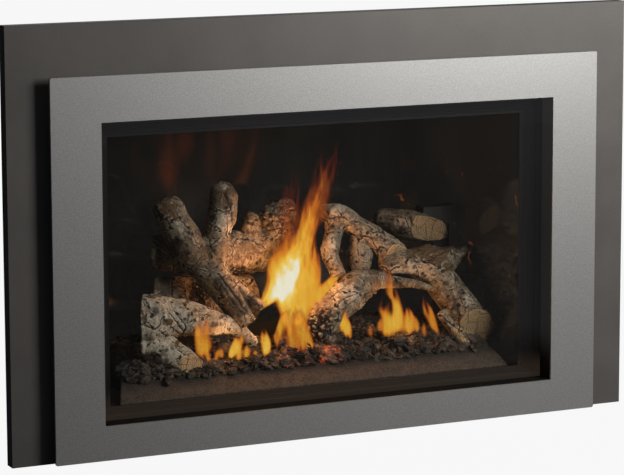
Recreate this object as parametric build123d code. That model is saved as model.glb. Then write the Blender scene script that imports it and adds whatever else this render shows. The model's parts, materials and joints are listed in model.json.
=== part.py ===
"""Direct-vent gas fireplace insert with surround, silver face, birch log fire and blower.

X runs to the right, Y to the back with Y = 0 on the surround's front, Z up from the hearth.
The finished solids are moved so that the origin is the middle of the footprint.
"""
from build123d import *
from math import atan2, ceil, cos, hypot, pi, radians, sin, sqrt
import os

os.makedirs("parts", exist_ok=True)

# ------------------------------------------------------------------ sizes
SHEET = 1.2            # folded steel sheet
FIT = 0.3              # gap between pieces that lie together
RUN = 0.05             # running clearance on a radius

SURROUND_W = 1130.0
SURROUND_H = 711.0
SURROUND_T = 1.5
WALL_Y = 25.0          # face of the masonry wall
CUT_X = 440.0          # half width of the surround's cut-out
CUT_Z = 606.0

FACE_X = 499.0         # half width of the silver face
FACE_Z0 = 1.0
FACE_Z1 = 628.0
FACE_T = 4.0
FACE_Y = -22.0         # front of the face
FACE_CORNER = 3.5
OPEN_X = 413.0         # opening in the face
OPEN_Z0 = 58.0
OPEN_Z1 = 552.5
CARRIER_INSET = 10.0

FRAME_Y = 20.0         # front of the glass frame
FRAME_X = 424.0
FRAME_Z0 = 50.0
FRAME_Z1 = 562.0
FRAME_T = 2.0
LIP_Y = 39.0           # inner edge of the glass frame
LIP_X = 382.0
LIP_Z0 = 75.0
LIP_Z1 = 521.0
PANE_T = 4.0
PANE_LAP = 13.0        # pane beyond the lip on each side
GASKET = 4.0
SCREEN_BAR = 8.0
SCREEN_T = 5.5
WIRE = 0.8
WIRE_PITCH = 10.4

FLANGE_Y = LIP_Y + 2.7 + FIT + PANE_T + GASKET     # front wall of the firebox
FIRE_Y0 = 60.0         # liner half widths are given at these two depths
FIRE_Y1 = 366.0
HALF_FRONT = 400.0
HALF_BACK = 316.0
LINER_T = 3.0
FLOOR_Z = 70.0
FLOOR_T = 2.0
CEIL_Z = 556.0

CASE_X = 432.0
CASE_BEND_Y = 150.0
CASE_BACK_X = 345.0
CASE_BACK_Y = 430.0
CASE_FLANGE = 30.0
CASE_TOP = 600.0
BASE_Z = 8.0

COLLAR_R = 38.0        # outside of the 76 mm collars
COLLAR_TOP = 640.0
COLLAR_X = 75.0
COLLAR_Y = 260.0
DUCT_R = COLLAR_R - 2.0

AXIS_Z = 30.0          # height of the control shafts
SHAFT_R = 4.0
FAN_Y = 401.0          # blower axis
FAN_Z = 60.0
FAN_R = 22.0
FAN_HALF = 118.0
FAN_BLADES = 20
FAN_SHAFT_R = 2.5

MID_Y = (FACE_Y + CASE_BACK_Y) / 2


# ------------------------------------------------------------------ helpers
def slab(x0, x1, y0, y1, z0, z1):
    """Box between two corners."""
    size = Box(x1 - x0, y1 - y0, z1 - z0)
    return Pos((x0 + x1) / 2, (y0 + y1) / 2, (z0 + z1) / 2) * size


def outline(points):
    return make_face(Polyline(*points, close=True))


def plan(points, z0, z1):
    """Prism on a plan outline, points are (x, y)."""
    return Pos(0, 0, z0) * extrude(outline(points), amount=z1 - z0)


def side(points, x0, x1):
    """Prism on a side outline, points are (y, z)."""
    plane = Plane(origin=(x0, 0, 0), x_dir=(0, 1, 0), z_dir=(1, 0, 0))
    return extrude(plane * outline(points), amount=x1 - x0)


def front(points, y0, y1):
    """Prism on a front outline, points are (x, z)."""
    plane = Plane(origin=(0, y1, 0), x_dir=(1, 0, 0), z_dir=(0, -1, 0))
    return extrude(plane * outline(points), amount=y1 - y0)


def rod(start, end, radius):
    """Round bar between two points."""
    a = Vector(*start)
    b = Vector(*end)
    return extrude(Plane(origin=a, z_dir=b - a) * Circle(radius), amount=(b - a).length)


def tube(start, end, outer, inner):
    return rod(start, end, outer) - rod(start, end, inner)


def window(x, z0, z1, y0, y1):
    """Block symmetric about X = 0, used for frames and their openings."""
    return slab(-x, x, y0, y1, z0, z1)


def folded(path, thick=SHEET):
    """Outline of a folded sheet whose left side is thickened along the path."""
    def normal(a, b):
        length = hypot(b[0] - a[0], b[1] - a[1])
        return (a[1] - b[1]) / length, (b[0] - a[0]) / length

    other = []
    last = len(path) - 1
    for i, p in enumerate(path):
        before = normal(path[max(i, 1) - 1], path[max(i, 1)])
        after = normal(path[min(i, last - 1)], path[min(i, last - 1) + 1])
        k = thick / (1 + before[0] * after[0] + before[1] * after[1])
        other.append((p[0] + k * (before[0] + after[0]), p[1] + k * (before[1] + after[1])))
    return list(path) + other[::-1]


def mirrored(shape):
    return mirror(shape, about=Plane.YZ)


def save(name, shape):
    export_step(Pos(0, -MID_Y, 0) * shape, "parts/" + name + ".step")


# ------------------------------------------------------------------ surround
def screw_points():
    """Six screws round the cut-out, three on each leg."""
    x = CASE_X + CASE_FLANGE - 12
    return [(s * x, z) for s in (-1, 1) for z in (60, 300, 540)]


def surround():
    outer = SURROUND_W / 2
    body = window(outer, 0, SURROUND_H, 0, WALL_Y)
    inner = window(outer - SURROUND_T, -1, SURROUND_H - SURROUND_T, SURROUND_T, WALL_Y + 1)
    body -= inner
    body -= window(CUT_X, -1, CUT_Z, -1, WALL_Y + 1)
    for x, z in screw_points():
        body -= rod((x, -1, z), (x, 5, z), 2.6)
    rim = body.edges().filter_by(Axis.X).group_by(Axis.Y)[0].sort_by(Axis.Z)[-1]
    return chamfer(rim, 0.6)


def screws():
    parts = []
    for x, z in screw_points():
        head = rod((x, -2.4, z), (x, 0, z), 4.6) - rod((x, -3, z), (x, -1.2, z), 1.8)
        parts.append(head + rod((x, 0, z), (x, 9, z), 2.5))
    return Compound(children=parts)


save("surround_plate", surround())
save("surround_screws", screws())


# ------------------------------------------------------------------ face
def face_plate():
    height = FACE_Z1 - FACE_Z0
    sketch = RectangleRounded(2 * FACE_X, height, FACE_CORNER)
    opening = Rectangle(2 * OPEN_X, OPEN_Z1 - OPEN_Z0)
    opening = Pos(0, (OPEN_Z0 + OPEN_Z1 - FACE_Z0 - FACE_Z1) / 2) * opening
    middle = (FACE_Z0 + FACE_Z1) / 2
    plane = Plane(origin=(0, FACE_Y + FACE_T, middle), x_dir=(1, 0, 0), z_dir=(0, -1, 0))
    plate = extrude(plane * (sketch - opening), amount=FACE_T)
    return chamfer(plate.faces().sort_by(Axis.Y)[0].outer_wire().edges(), 0.5)


def face_carrier():
    """Folded tray behind the face: outer flange, web, return that lines the opening, clips."""
    y0 = FACE_Y + FACE_T
    outer_x = FACE_X - CARRIER_INSET
    low = FACE_Z0 + CARRIER_INSET
    high = FACE_Z1 - CARRIER_INSET
    tray = window(outer_x, low, high, y0, -FIT)
    tray -= window(outer_x - SHEET, low + SHEET, high - SHEET, y0 + SHEET, 1)
    tray += window(OPEN_X + SHEET, OPEN_Z0 - SHEET, OPEN_Z1 + SHEET, y0, FRAME_Y - FIT)
    tray -= window(OPEN_X, OPEN_Z0, OPEN_Z1, y0 - 1, FRAME_Y + 1)
    clip = folded([(FRAME_X + 2, y0 + SHEET), (FRAME_X + 2, 14), (FRAME_X + 5, 20), (FRAME_X + 2, 26)])
    for z in (120, 470):
        tongue = plan(clip, z, z + 18)
        tray += tongue + mirrored(tongue)
    return tray


save("face_plate", face_plate())
save("face_carrier", face_carrier())


# ------------------------------------------------------------------ barrier screen
SCREEN_EASE = 1.0      # room round the screen in the face
SCREEN_X = OPEN_X - SCREEN_EASE
SCREEN_Z0 = OPEN_Z0 + FIT
SCREEN_Z1 = OPEN_Z1 - SCREEN_EASE
SCREEN_Y1 = FRAME_Y - FIT
SCREEN_Y0 = SCREEN_Y1 - SCREEN_T


def barrier_frame():
    b = SCREEN_BAR
    ring = window(SCREEN_X, SCREEN_Z0, SCREEN_Z1, SCREEN_Y0, SCREEN_Y1)
    ring -= window(SCREEN_X - b, SCREEN_Z0 + b, SCREEN_Z1 - b, SCREEN_Y0 - 1, SCREEN_Y1 + 1)
    rim = ring.faces().sort_by(Axis.Y)[0].inner_wires()[0].edges()
    return chamfer(rim, 2)


def barrier_mesh():
    """Upright wires tied by four cross wires, let into the back of the frame."""
    span = SCREEN_X - SCREEN_BAR
    low = SCREEN_Z0 + SCREEN_BAR
    high = SCREEN_Z1 - SCREEN_BAR
    mid_y = SCREEN_Y1 - 2
    count = ceil(2 * span / WIRE_PITCH)
    wires = []
    for i in range(1, count):
        x = -span + 2 * span * i / count
        wires.append(slab(x - WIRE / 2, x + WIRE / 2, mid_y - WIRE, mid_y, low, high))
    for k in range(1, 5):
        z = low + (high - low) * k / 5
        wires.append(slab(-span, span, mid_y, mid_y + WIRE, z, z + WIRE))
    return Compound(children=wires)


save("barrier_frame", barrier_frame())
save("barrier_mesh", barrier_mesh())


# ------------------------------------------------------------------ glass front
def frame_section(y, part, grow):
    """Rectangle across the glass frame; part is 0 at its front edge and 1 at its lip."""
    x = OPEN_X + (LIP_X - OPEN_X) * part + grow
    z0 = OPEN_Z0 + (LIP_Z0 - OPEN_Z0) * part - grow
    z1 = OPEN_Z1 + (LIP_Z1 - OPEN_Z1) * part + grow
    plane = Plane(origin=(0, y, (z0 + z1) / 2), x_dir=(1, 0, 0), z_dir=(0, -1, 0))
    return plane * Rectangle(2 * x, z1 - z0)


# cove of the frame from its front edge to its lip: depth behind the front, part of the width
COVE = ((0, 0), (2.5, 0.14), (3.5, 0.34), (6, 0.52), (11, 0.72), (15, 0.76), (LIP_Y - FRAME_Y, 1))


def glass_frame():
    inside = [frame_section(FRAME_Y + d, p, 0) for d, p in COVE]
    outside = [frame_section(FRAME_Y + d, p, FRAME_T) for d, p in COVE]
    funnel = loft(outside, ruled=True) - loft(inside, ruled=True)
    skirt = window(FRAME_X, FRAME_Z0, FRAME_Z1, FRAME_Y, LIP_Y + 2.7)
    skirt -= window(FRAME_X - FRAME_T, FRAME_Z0 + FRAME_T, FRAME_Z1 - FRAME_T, FRAME_Y + FRAME_T, 60)
    skirt -= window(OPEN_X, OPEN_Z0, OPEN_Z1, 0, 60)
    stop_x = LIP_X + PANE_LAP
    stop = window(stop_x, LIP_Z0 - PANE_LAP, LIP_Z1 + PANE_LAP, LIP_Y - FRAME_T, LIP_Y + 2.7)
    stop -= window(LIP_X, LIP_Z0, LIP_Z1, 0, 60)
    return funnel + skirt + stop


PANE_Y = LIP_Y + 2.7 + FIT


def glass_pane():
    x = LIP_X + PANE_LAP
    return window(x, LIP_Z0 - PANE_LAP, LIP_Z1 + PANE_LAP, PANE_Y, PANE_Y + PANE_T)


def glass_gasket():
    x = LIP_X + PANE_LAP - FIT
    z0 = LIP_Z0 - PANE_LAP + FIT
    z1 = LIP_Z1 + PANE_LAP - FIT
    y = PANE_Y + PANE_T
    ring = window(x, z0, z1, y, y + GASKET - FIT)
    return ring - window(x - GASKET, z0 + GASKET, z1 - GASKET, y - 1, y + GASKET)


LATCH_X = 250.0
LATCH_Z = FRAME_Z1 + 14
LATCH_T = 3.0
POST_R = 4.0


def glass_latch(x):
    """Turn button whose tongue overlaps the top of the glass frame."""
    y1 = FRAME_Y - FIT
    y0 = y1 - LATCH_T
    body = rod((x, y0, LATCH_Z), (x, y1, LATCH_Z), 8)
    body += slab(x - 7, x + 7, y0, y1, FRAME_Z1 - 5, LATCH_Z)
    body += slab(x - 1.5, x + 1.5, y0 - 5, y0, FRAME_Z1 - 5, LATCH_Z - 8)
    return body - rod((x, 0, LATCH_Z), (x, 30, LATCH_Z), POST_R + RUN)


save("glass_frame", glass_frame())
save("glass_pane", glass_pane())
save("glass_gasket", glass_gasket())
save("glass_latch_left", glass_latch(-LATCH_X))
save("glass_latch_right", glass_latch(LATCH_X))


# ------------------------------------------------------------------ casing and base
def casing_wrap():
    """One sheet folded round both sides and the back, with the flanges that carry the surround."""
    y0 = SURROUND_T + FIT + SHEET
    right = [
        (CASE_X + CASE_FLANGE, y0),
        (CASE_X, y0),
        (CASE_X, CASE_BEND_Y),
        (CASE_BACK_X, CASE_BACK_Y),
    ]
    path = right + [(-x, y) for x, y in right[::-1]]
    body = plan(folded(path), BASE_Z + SHEET, CASE_TOP - SHEET)
    for x, z in screw_points():
        body -= rod((x, 0, z), (x, 5, z), 2.6)
    return body - rod((-CASE_X - 9, GAS_Y, AXIS_Z), (-CASE_X + 9, GAS_Y, AXIS_Z), 9)


def case_plan(grow):
    x = CASE_X + grow
    b = CASE_BACK_X + grow
    y0 = SURROUND_T + FIT
    return [(-x, y0), (x, y0), (x, CASE_BEND_Y), (b, CASE_BACK_Y), (-b, CASE_BACK_Y), (-x, CASE_BEND_Y)]


FOOT_POINTS = [(-400.0, 75.0), (400.0, 75.0), (-310.0, 395.0), (310.0, 395.0)]


def base_pan():
    pan = plan(case_plan(0), BASE_Z, BASE_Z + SHEET)
    for x, y in FOOT_POINTS:
        nut = Pos(x, y, BASE_Z + SHEET) * extrude(RegularPolygon(8, 6), amount=7)
        pan += nut
        pan -= rod((x, y, 0), (x, y, 40), SHAFT_R + RUN)
    return pan


def levelling_bolt(x, y):
    foot = Pos(x, y, 0) * Cylinder(13, 3, align=(Align.CENTER, Align.CENTER, Align.MIN))
    foot = chamfer(foot.edges().group_by(Axis.Z)[-1], 1)
    hex_part = Pos(x, y, 3) * extrude(RegularPolygon(6.5, 6), amount=BASE_Z - 3 - FIT)
    return foot + hex_part + rod((x, y, 3), (x, y, 34), SHAFT_R)


GAS_Y = 95.0
save("casing_wrap", casing_wrap())
save("base_pan", base_pan())
for i, (x, y) in enumerate(FOOT_POINTS):
    save("levelling_bolt_" + str(i + 1), levelling_bolt(x, y))


def casing_top():
    top = plan(case_plan(0), CASE_TOP - SHEET, CASE_TOP)
    for x in (-COLLAR_X, COLLAR_X):
        top -= rod((x, COLLAR_Y, CASE_TOP - 5), (x, COLLAR_Y, CASE_TOP + 5), COLLAR_R + 4)
    low = CASE_TOP - 11
    baffle = folded([(60, low), (70, low), (140, CASE_TOP - SHEET), (150, CASE_TOP - SHEET)], -SHEET)
    return top + side(baffle[::-1], -CASE_X + 10, CASE_X - 10)


save("casing_top", casing_top())


# ------------------------------------------------------------------ firebox
SLOPE = (HALF_FRONT - HALF_BACK) / (FIRE_Y1 - FIRE_Y0)
SKEW = sqrt(1 + SLOPE * SLOPE)
WALL_IN = FLANGE_Y + SURROUND_T        # rear face of the firebox front wall


def half(y, out=0.0):
    """Half width of the liners at a depth, moved outwards square to the wall."""
    return HALF_FRONT - SLOPE * (y - FIRE_Y0) + out * SKEW


def fire_plan(y0, y1, out):
    return [(-half(y0, out), y0), (half(y0, out), y0), (half(y1, out), y1), (-half(y1, out), y1)]


BACK_IN = FIRE_Y1 + LINER_T + FIT      # inside of the wrap's back
wrap_in = LINER_T + FIT
wrap_out = LINER_T + FIT + SHEET
PORT_X0 = 60.0
PORT_X1 = 220.0
PORT_Z0 = 150.0
PORT_Z1 = 185.0


def firebox_wrap():
    body = plan(fire_plan(WALL_IN, BACK_IN + SHEET, wrap_out), FLOOR_Z - FLOOR_T, CEIL_Z)
    body -= plan(fire_plan(WALL_IN - 1, BACK_IN, wrap_in), 0, CEIL_Z + 1)
    return body - slab(PORT_X0, PORT_X1, 350, 380, PORT_Z0, PORT_Z1)


FLAP_X = 230.0
FLAP_Y0 = 118.0
FLAP_Y1 = 186.0
FLAP_HALF = 62.0
EAR = 4.0
PIN_R = 1.6
FLAP_AXIS_Z = CEIL_Z + SHEET + 5
RAIL_X = 42.0
RAIL_H = 3.0
RISER = (-60.0, 200.0)


def firebox_floor():
    plate = plan(fire_plan(WALL_IN + FIT, BACK_IN - FIT, wrap_in - FIT), FLOOR_Z - FLOOR_T, FLOOR_Z)
    for x, y in ((-345, 150), (345, 150), (-285, 330), (285, 330)):
        s = 1 if x > 0 else -1
        path = [(x, y + 22), (x, y), (x - s * 22, y)]
        plate += plan(folded(path, 1.5 * s), BASE_Z + SHEET, FLOOR_Z - FLOOR_T)
    return plate - rod((*RISER, 60), (*RISER, 80), 12 + FIT)


def firebox_top():
    z0 = CEIL_Z
    z1 = CEIL_Z + SHEET
    body = plan(fire_plan(WALL_IN, BACK_IN + SHEET, wrap_out), z0, z1)
    body -= rod((-COLLAR_X, COLLAR_Y, z0 - 1), (-COLLAR_X, COLLAR_Y, z1 + 1), DUCT_R)
    for x in (-FLAP_X, FLAP_X):
        body -= slab(x - FLAP_HALF + 8, x + FLAP_HALF - 8, FLAP_Y0 + 8, FLAP_Y1 - 12, z0 - 1, z1 + 1)
        for s in (-1, 1):
            ear_x = x + s * (FLAP_HALF + FIT)
            ear = slab(min(ear_x, ear_x + s * EAR), max(ear_x, ear_x + s * EAR),
                       FLAP_Y1 - 5, FLAP_Y1 + 5, z1, FLAP_AXIS_Z + 3)
            body += ear
        body += rod((x - FLAP_HALF - 2, FLAP_Y1, FLAP_AXIS_Z), (x + FLAP_HALF + 2, FLAP_Y1, FLAP_AXIS_Z), PIN_R)
        for y in (140, 300):
            clip_x = x / FLAP_X * (half(y) - 4)
            body += slab(clip_x - 1, clip_x + 1, y - 8, y + 8, CEIL_Z - 12, CEIL_Z)
        body += slab(x - 10, x + 10, FIRE_Y1 - FIT - 1, FIRE_Y1 - FIT, CEIL_Z - 12, CEIL_Z)
    for s in (-1, 1):
        rail = -COLLAR_X + s * RAIL_X
        body += slab(rail - 2.5, rail + 2.5, COLLAR_Y - 48, COLLAR_Y + 48, z1, z1 + RAIL_H)
    return body


def relief_flap(x):
    """Loose lid over a relief opening, hinged along its rear edge."""
    z = CEIL_Z + SHEET + FIT
    lid = slab(x - FLAP_HALF, x + FLAP_HALF, FLAP_Y0, FLAP_Y1 - 1, z, z + 1.5)
    lid += slab(x - FLAP_HALF, x + FLAP_HALF, FLAP_Y0, FLAP_Y0 + 1.5, z, z + 7)
    barrel = rod((x - FLAP_HALF, FLAP_Y1, FLAP_AXIS_Z), (x + FLAP_HALF, FLAP_Y1, FLAP_AXIS_Z), 4.2)
    hole = rod((x - 70, FLAP_Y1, FLAP_AXIS_Z), (x + 70, FLAP_Y1, FLAP_AXIS_Z), PIN_R + RUN)
    return lid + barrel - hole


def firebox_front():
    """Front wall: glass opening, control access, warm air slots, glass shelf and latch posts."""
    x = CASE_X - SHEET - FIT
    body = window(x, BASE_Z + SHEET + FIT, CASE_TOP - SHEET - FIT, FLANGE_Y, WALL_IN)
    body -= window(LIP_X + 7, FLOOR_Z - FLOOR_T, LIP_Z1 + 11, 0, 100)
    body -= window(CASE_X - 40, 14, FRAME_Z0 - 4, 0, 100)
    outer = CASE_X - 32
    for x0, x1 in ((-outer, -262), (-238, -10), (10, 238), (262, outer)):
        body -= slab(x0, x1, 0, 100, FRAME_Z1 + 4, FRAME_Z1 + 28)
    shelf = FRAME_Z0 - FIT
    body += window(300, shelf - SHEET, shelf, FRAME_Y + 6, FLANGE_Y)
    for px in (-LATCH_X, LATCH_X):
        body += rod((px, FRAME_Y - 10, LATCH_Z), (px, FLANGE_Y, LATCH_Z), POST_R)
        body += rod((px, FRAME_Y - 10, LATCH_Z), (px, FRAME_Y - LATCH_T - 2 * FIT, LATCH_Z), 6.5)
    return body


LINER_TOP = CEIL_Z - 3


def liner_side():
    y0 = WALL_IN + FIT
    y1 = FIRE_Y1 - FIT
    ring = [(half(y0), y0), (half(y0, LINER_T), y0), (half(y1, LINER_T), y1), (half(y1), y1)]
    return plan(ring, FLOOR_Z, LINER_TOP)


def liner_back():
    body = window(half(FIRE_Y1), FLOOR_Z, LINER_TOP, FIRE_Y1, FIRE_Y1 + LINER_T)
    return body - slab(PORT_X0, PORT_X1, 350, 380, PORT_Z0, PORT_Z1)


save("firebox_wrap", firebox_wrap() + firebox_top())
save("firebox_floor", firebox_floor())
save("relief_flap_left", relief_flap(-FLAP_X))
save("relief_flap_right", relief_flap(FLAP_X))
save("firebox_front_wall", firebox_front())
save("liner_right", liner_side())
save("liner_left", mirrored(liner_side()))
save("liner_back", liner_back())


# ------------------------------------------------------------------ venting
def exhaust_duct():
    z0 = CEIL_Z + SHEET + RAIL_H
    x = -COLLAR_X
    base = slab(x - 48, x + 48, COLLAR_Y - 48, COLLAR_Y + 48, z0, z0 + SHEET)
    body = base + rod((x, COLLAR_Y, z0), (x, COLLAR_Y, CASE_TOP), DUCT_R + SHEET)
    return body - rod((x, COLLAR_Y, z0 - 1), (x, COLLAR_Y, CASE_TOP + 1), DUCT_R)


def intake_duct():
    """Flat duct over the firebox and down behind it to the low air port."""
    y_in = BACK_IN + SHEET + FIT
    y_out = CASE_BACK_Y - SHEET - 2
    z_low = PORT_Z0 - 10
    z_top = CASE_TOP - SHEET - FIT
    z_sill = CEIL_Z + SHEET + FIT
    profile = [(COLLAR_Y - 42, z_sill), (COLLAR_Y - 42, z_top), (y_out, z_top), (y_out, z_low),
               (y_in, z_low), (y_in, z_sill)]
    t = SHEET
    core = [(COLLAR_Y - 42 + t, z_sill + t), (COLLAR_Y - 42 + t, z_top - t), (y_out - t, z_top - t),
            (y_out - t, z_low + t), (y_in + t, z_low + t), (y_in + t, z_sill + t)]
    body = side(profile, PORT_X0 - 40, PORT_X1)
    body -= side(core, PORT_X0 - 40 + t, PORT_X1 - t)
    body -= rod((COLLAR_X, COLLAR_Y, z_top - 10), (COLLAR_X, COLLAR_Y, z_top + 1), DUCT_R)
    return body - slab(PORT_X0, PORT_X1 - 2 * t, 350, y_in + 5, PORT_Z0, PORT_Z1)


def vent_plate():
    x = COLLAR_X + COLLAR_R + 22
    body = slab(-x, x, COLLAR_Y - 62, COLLAR_Y + 62, CASE_TOP, CASE_TOP + 2)
    body = fillet(body.edges().filter_by(Axis.Z), 10)
    for cx in (-COLLAR_X, COLLAR_X):
        body -= rod((cx, COLLAR_Y, CASE_TOP - 1), (cx, COLLAR_Y, CASE_TOP + 3), DUCT_R)
    for cx in (-x + 10, x - 10):
        for cy in (COLLAR_Y - 50, COLLAR_Y + 50):
            body -= rod((cx, cy, CASE_TOP - 1), (cx, cy, CASE_TOP + 3), 2.5)
    return body + vent_collar(-COLLAR_X) + vent_collar(COLLAR_X)


def vent_collar(x):
    """Rolled collar with a foot flange and a raised bead that stops the flexible liner."""
    z = CASE_TOP + 2
    ring = rod((x, COLLAR_Y, z), (x, COLLAR_Y, COLLAR_TOP), COLLAR_R)
    ring += rod((x, COLLAR_Y, z), (x, COLLAR_Y, z + SHEET), COLLAR_R + 8)
    ring += rod((x, COLLAR_Y, z + 8), (x, COLLAR_Y, z + 11), COLLAR_R + 1.5)
    return ring - rod((x, COLLAR_Y, z - 1), (x, COLLAR_Y, COLLAR_TOP + 1), DUCT_R)


def vent_restrictor():
    """Sliding plate under the exhaust duct, with a round bite that leaves it open at rest."""
    x = -COLLAR_X
    z = CEIL_Z + SHEET + FIT
    w = RAIL_X - 2.5 - FIT
    y1 = COLLAR_Y - 2
    plate = slab(x - w, x + w, y1 - 62, y1, z, z + RAIL_H - 2 * FIT)
    plate -= rod((x, COLLAR_Y, z - 1), (x, COLLAR_Y, z + 5), DUCT_R + 1)
    plate += slab(x - 9, x + 9, y1 - 92, y1 - 60, z, z + RAIL_H - 2 * FIT)
    return plate + slab(x - 9, x + 9, y1 - 92, y1 - 90, z, z + 14)


save("intake_duct", intake_duct())
save("vent_plate", vent_plate() + exhaust_duct())
save("vent_restrictor", vent_restrictor())


# ------------------------------------------------------------------ burner and pilot
PAN_X = 290.0
PAN_Y0 = 110.0
PAN_Y1 = 330.0
PAN_TOP = 88.0
MIXER_R = 12.0
MIXER_X0 = -165.0


def burner_pan():
    z0 = FLOOR_Z
    body = slab(-PAN_X, PAN_X, PAN_Y0, PAN_Y1, z0, PAN_TOP)
    body -= slab(-PAN_X + 1.5, PAN_X - 1.5, PAN_Y0 + 1.5, PAN_Y1 - 1.5, z0 + 1.5, PAN_TOP - 1.5)
    body -= rod((*RISER, z0 - 1), (*RISER, z0 + 3), MIXER_R + FIT)
    for i in range(16):
        x = -PAN_X + 30 + i * (2 * PAN_X - 60) / 15
        body -= slab(x - 2, x + 2, 150, 158, PAN_TOP - 3, PAN_TOP + 1)
    return body


def burner_tube():
    """Mixer tube with its elbow and riser up through the floor."""
    x, y = RISER
    start = (MIXER_X0, y, AXIS_Z)
    run = rod(start, (x, y, AXIS_Z), MIXER_R)
    run += Pos(x, y, AXIS_Z) * Sphere(MIXER_R)
    run += rod((x, y, AXIS_Z), (x, y, FLOOR_Z + 1), MIXER_R)
    bore = MIXER_R - 1.5
    run -= rod((MIXER_X0 - 1, y, AXIS_Z), (x, y, AXIS_Z), bore)
    run -= rod((x, y, AXIS_Z), (x, y, FLOOR_Z + 2), bore)
    for a in (0, 90, 180, 270):
        slot = slab(MIXER_X0 + 6, MIXER_X0 + 20, y - 4, y + 4, AXIS_Z, AXIS_Z + 20)
        run -= Pos(0, y, AXIS_Z) * Rot(a, 0, 0) * Pos(0, -y, -AXIS_Z) * slot
    return run


def air_shutter():
    """Slotted sleeve that turns on the mixer tube."""
    y = RISER[1]
    sleeve = rod((MIXER_X0 + 1, y, AXIS_Z), (MIXER_X0 + 26, y, AXIS_Z), MIXER_R + RUN + 1.2)
    lever = slab(MIXER_X0 + 20, MIXER_X0 + 23, y - 22, y, AXIS_Z - 3, AXIS_Z + 3)
    sleeve += lever
    sleeve -= rod((MIXER_X0, y, AXIS_Z), (MIXER_X0 + 30, y, AXIS_Z), MIXER_R + RUN)
    for a in (0, 90, 180, 270):
        slot = slab(MIXER_X0 + 6, MIXER_X0 + 18, y - 4, y + 4, AXIS_Z, AXIS_Z + 20)
        sleeve -= Pos(0, y, AXIS_Z) * Rot(a, 0, 0) * Pos(0, -y, -AXIS_Z) * slot
    return sleeve


def orifice():
    y = RISER[1]
    x = MIXER_X0
    hexagon = Plane(origin=(x - 12, y, AXIS_Z), z_dir=(1, 0, 0)) * RegularPolygon(7, 6)
    body = extrude(hexagon, amount=8) + rod((x - 4, y, AXIS_Z), (x + 6, y, AXIS_Z), 4)
    return body - rod((x - 2, y, AXIS_Z), (x + 7, y, AXIS_Z), 1)


VALVE_X0 = -330.0
VALVE_X1 = -250.0
VALVE_Y0 = 66.0
VALVE_Y1 = 124.0


def manifold_tube():
    """Bent copper tube from the valve outlet to the orifice."""
    y = RISER[1]
    end = MIXER_X0 - 12
    path = Polyline((VALVE_X1, GAS_Y, AXIS_Z), (-225, GAS_Y, AXIS_Z), (-225, y, AXIS_Z), (end, y, AXIS_Z))
    path = fillet(path.vertices().sort_by(Axis.X)[1:3], 18)
    pipe = sweep(Plane(origin=(VALVE_X1, GAS_Y, AXIS_Z), z_dir=(1, 0, 0)) * Circle(4), path=path)
    return pipe + orifice()


PILOT = (-110.0, 322.0)
BED_TOP = 124.0
PAD_Z = BED_TOP - 6


def pilot():
    """Bracket with the hooded pilot burner, the spark electrode and the thermopile."""
    x, y = PILOT
    path = [(y - 14, PAD_Z), (y + 8, PAD_Z), (y + 8, PAD_Z + 24)]
    tip = PAD_Z + 1.5
    body = side(folded(path, 1.5), x - 22, x + 22)
    body += rod((x, y - 2, tip), (x, y - 2, tip + 26), 5)
    body += slab(x - 9, x + 9, y - 9, y + 5, tip + 26, tip + 27.5)
    body += rod((x - 16, y - 2, tip), (x - 16, y - 2, tip + 18), 4)
    body += rod((x - 16, y - 2, tip + 18), (x - 16, y - 2, tip + 36), 2)
    return body + rod((x + 16, y - 2, tip), (x + 16, y - 2, tip + 34), 4.5)


save("burner_pan", burner_pan())
save("burner_tube", burner_tube())
save("air_shutter", air_shutter())
save("manifold_tube", manifold_tube())
save("pilot_assembly", pilot())


# ------------------------------------------------------------------ controls
def knob(x, y0, z, radius, grip):
    """Control knob with a skirt, a grip bar and a blind bore; it points to the front."""
    body = rod((x, y0 - 4, z), (x, y0, z), radius)
    body += rod((x, y0 - 14, z), (x, y0 - 4, z), radius * 0.72)
    body = chamfer(body.edges().filter_by(GeomType.CIRCLE).sort_by(Axis.Y)[0], 1)
    body += slab(x - grip / 2, x + grip / 2, y0 - 17, y0 - 12, z - radius * 0.6, z + radius * 0.6)
    return body - rod((x, y0 - 10, z), (x, y0 + 1, z), SHAFT_R + RUN)


KNOB_Y = VALVE_Y0 - FIT
FLAME_X = VALVE_X0 + 20
GAS_X = VALVE_X0 + 58


def gas_valve():
    z0 = BASE_Z + SHEET
    body = slab(VALVE_X0, VALVE_X1, VALVE_Y0, VALVE_Y1, z0, 50)
    body = chamfer(body.edges().filter_by(Axis.Z), 4)
    body += rod((VALVE_X0 + 18, 92, 50), (VALVE_X0 + 18, 92, 62), 13)
    body += rod((VALVE_X0 + 60, 98, 50), (VALVE_X0 + 60, 98, 58), 10)
    for x in (FLAME_X, GAS_X):
        body += rod((x, KNOB_Y - 9, AXIS_Z), (x, VALVE_Y0, AXIS_Z), SHAFT_R)
    return body


def gas_inlet():
    """Pipe nipple from the valve out through the casing side."""
    pipe = rod((-CASE_X - 26, GAS_Y, AXIS_Z), (-CASE_X - 2, GAS_Y, AXIS_Z), 7)
    pipe += rod((-CASE_X - 2, GAS_Y, AXIS_Z), (VALVE_X0, GAS_Y, AXIS_Z), 6)
    nut = Plane(origin=(VALVE_X0 - 16, GAS_Y, AXIS_Z), z_dir=(1, 0, 0)) * RegularPolygon(11, 6)
    pipe += extrude(nut, amount=16 - FIT)
    return pipe - rod((-CASE_X - 27, GAS_Y, AXIS_Z), (-CASE_X + 30, GAS_Y, AXIS_Z), 4.5)


MOD_X = 150.0
MOD_Y = 72.0
SLOT_W = 16.0


def control_module():
    z0 = BASE_Z + SHEET
    body = slab(MOD_X, MOD_X + 96, MOD_Y, MOD_Y + 70, z0, 42)
    body = fillet(body.edges().filter_by(Axis.Z), 4)
    body -= slab(MOD_X + 20, MOD_X + 20 + SLOT_W, MOD_Y - 1, MOD_Y + 5, 24, 31)
    return body


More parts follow.
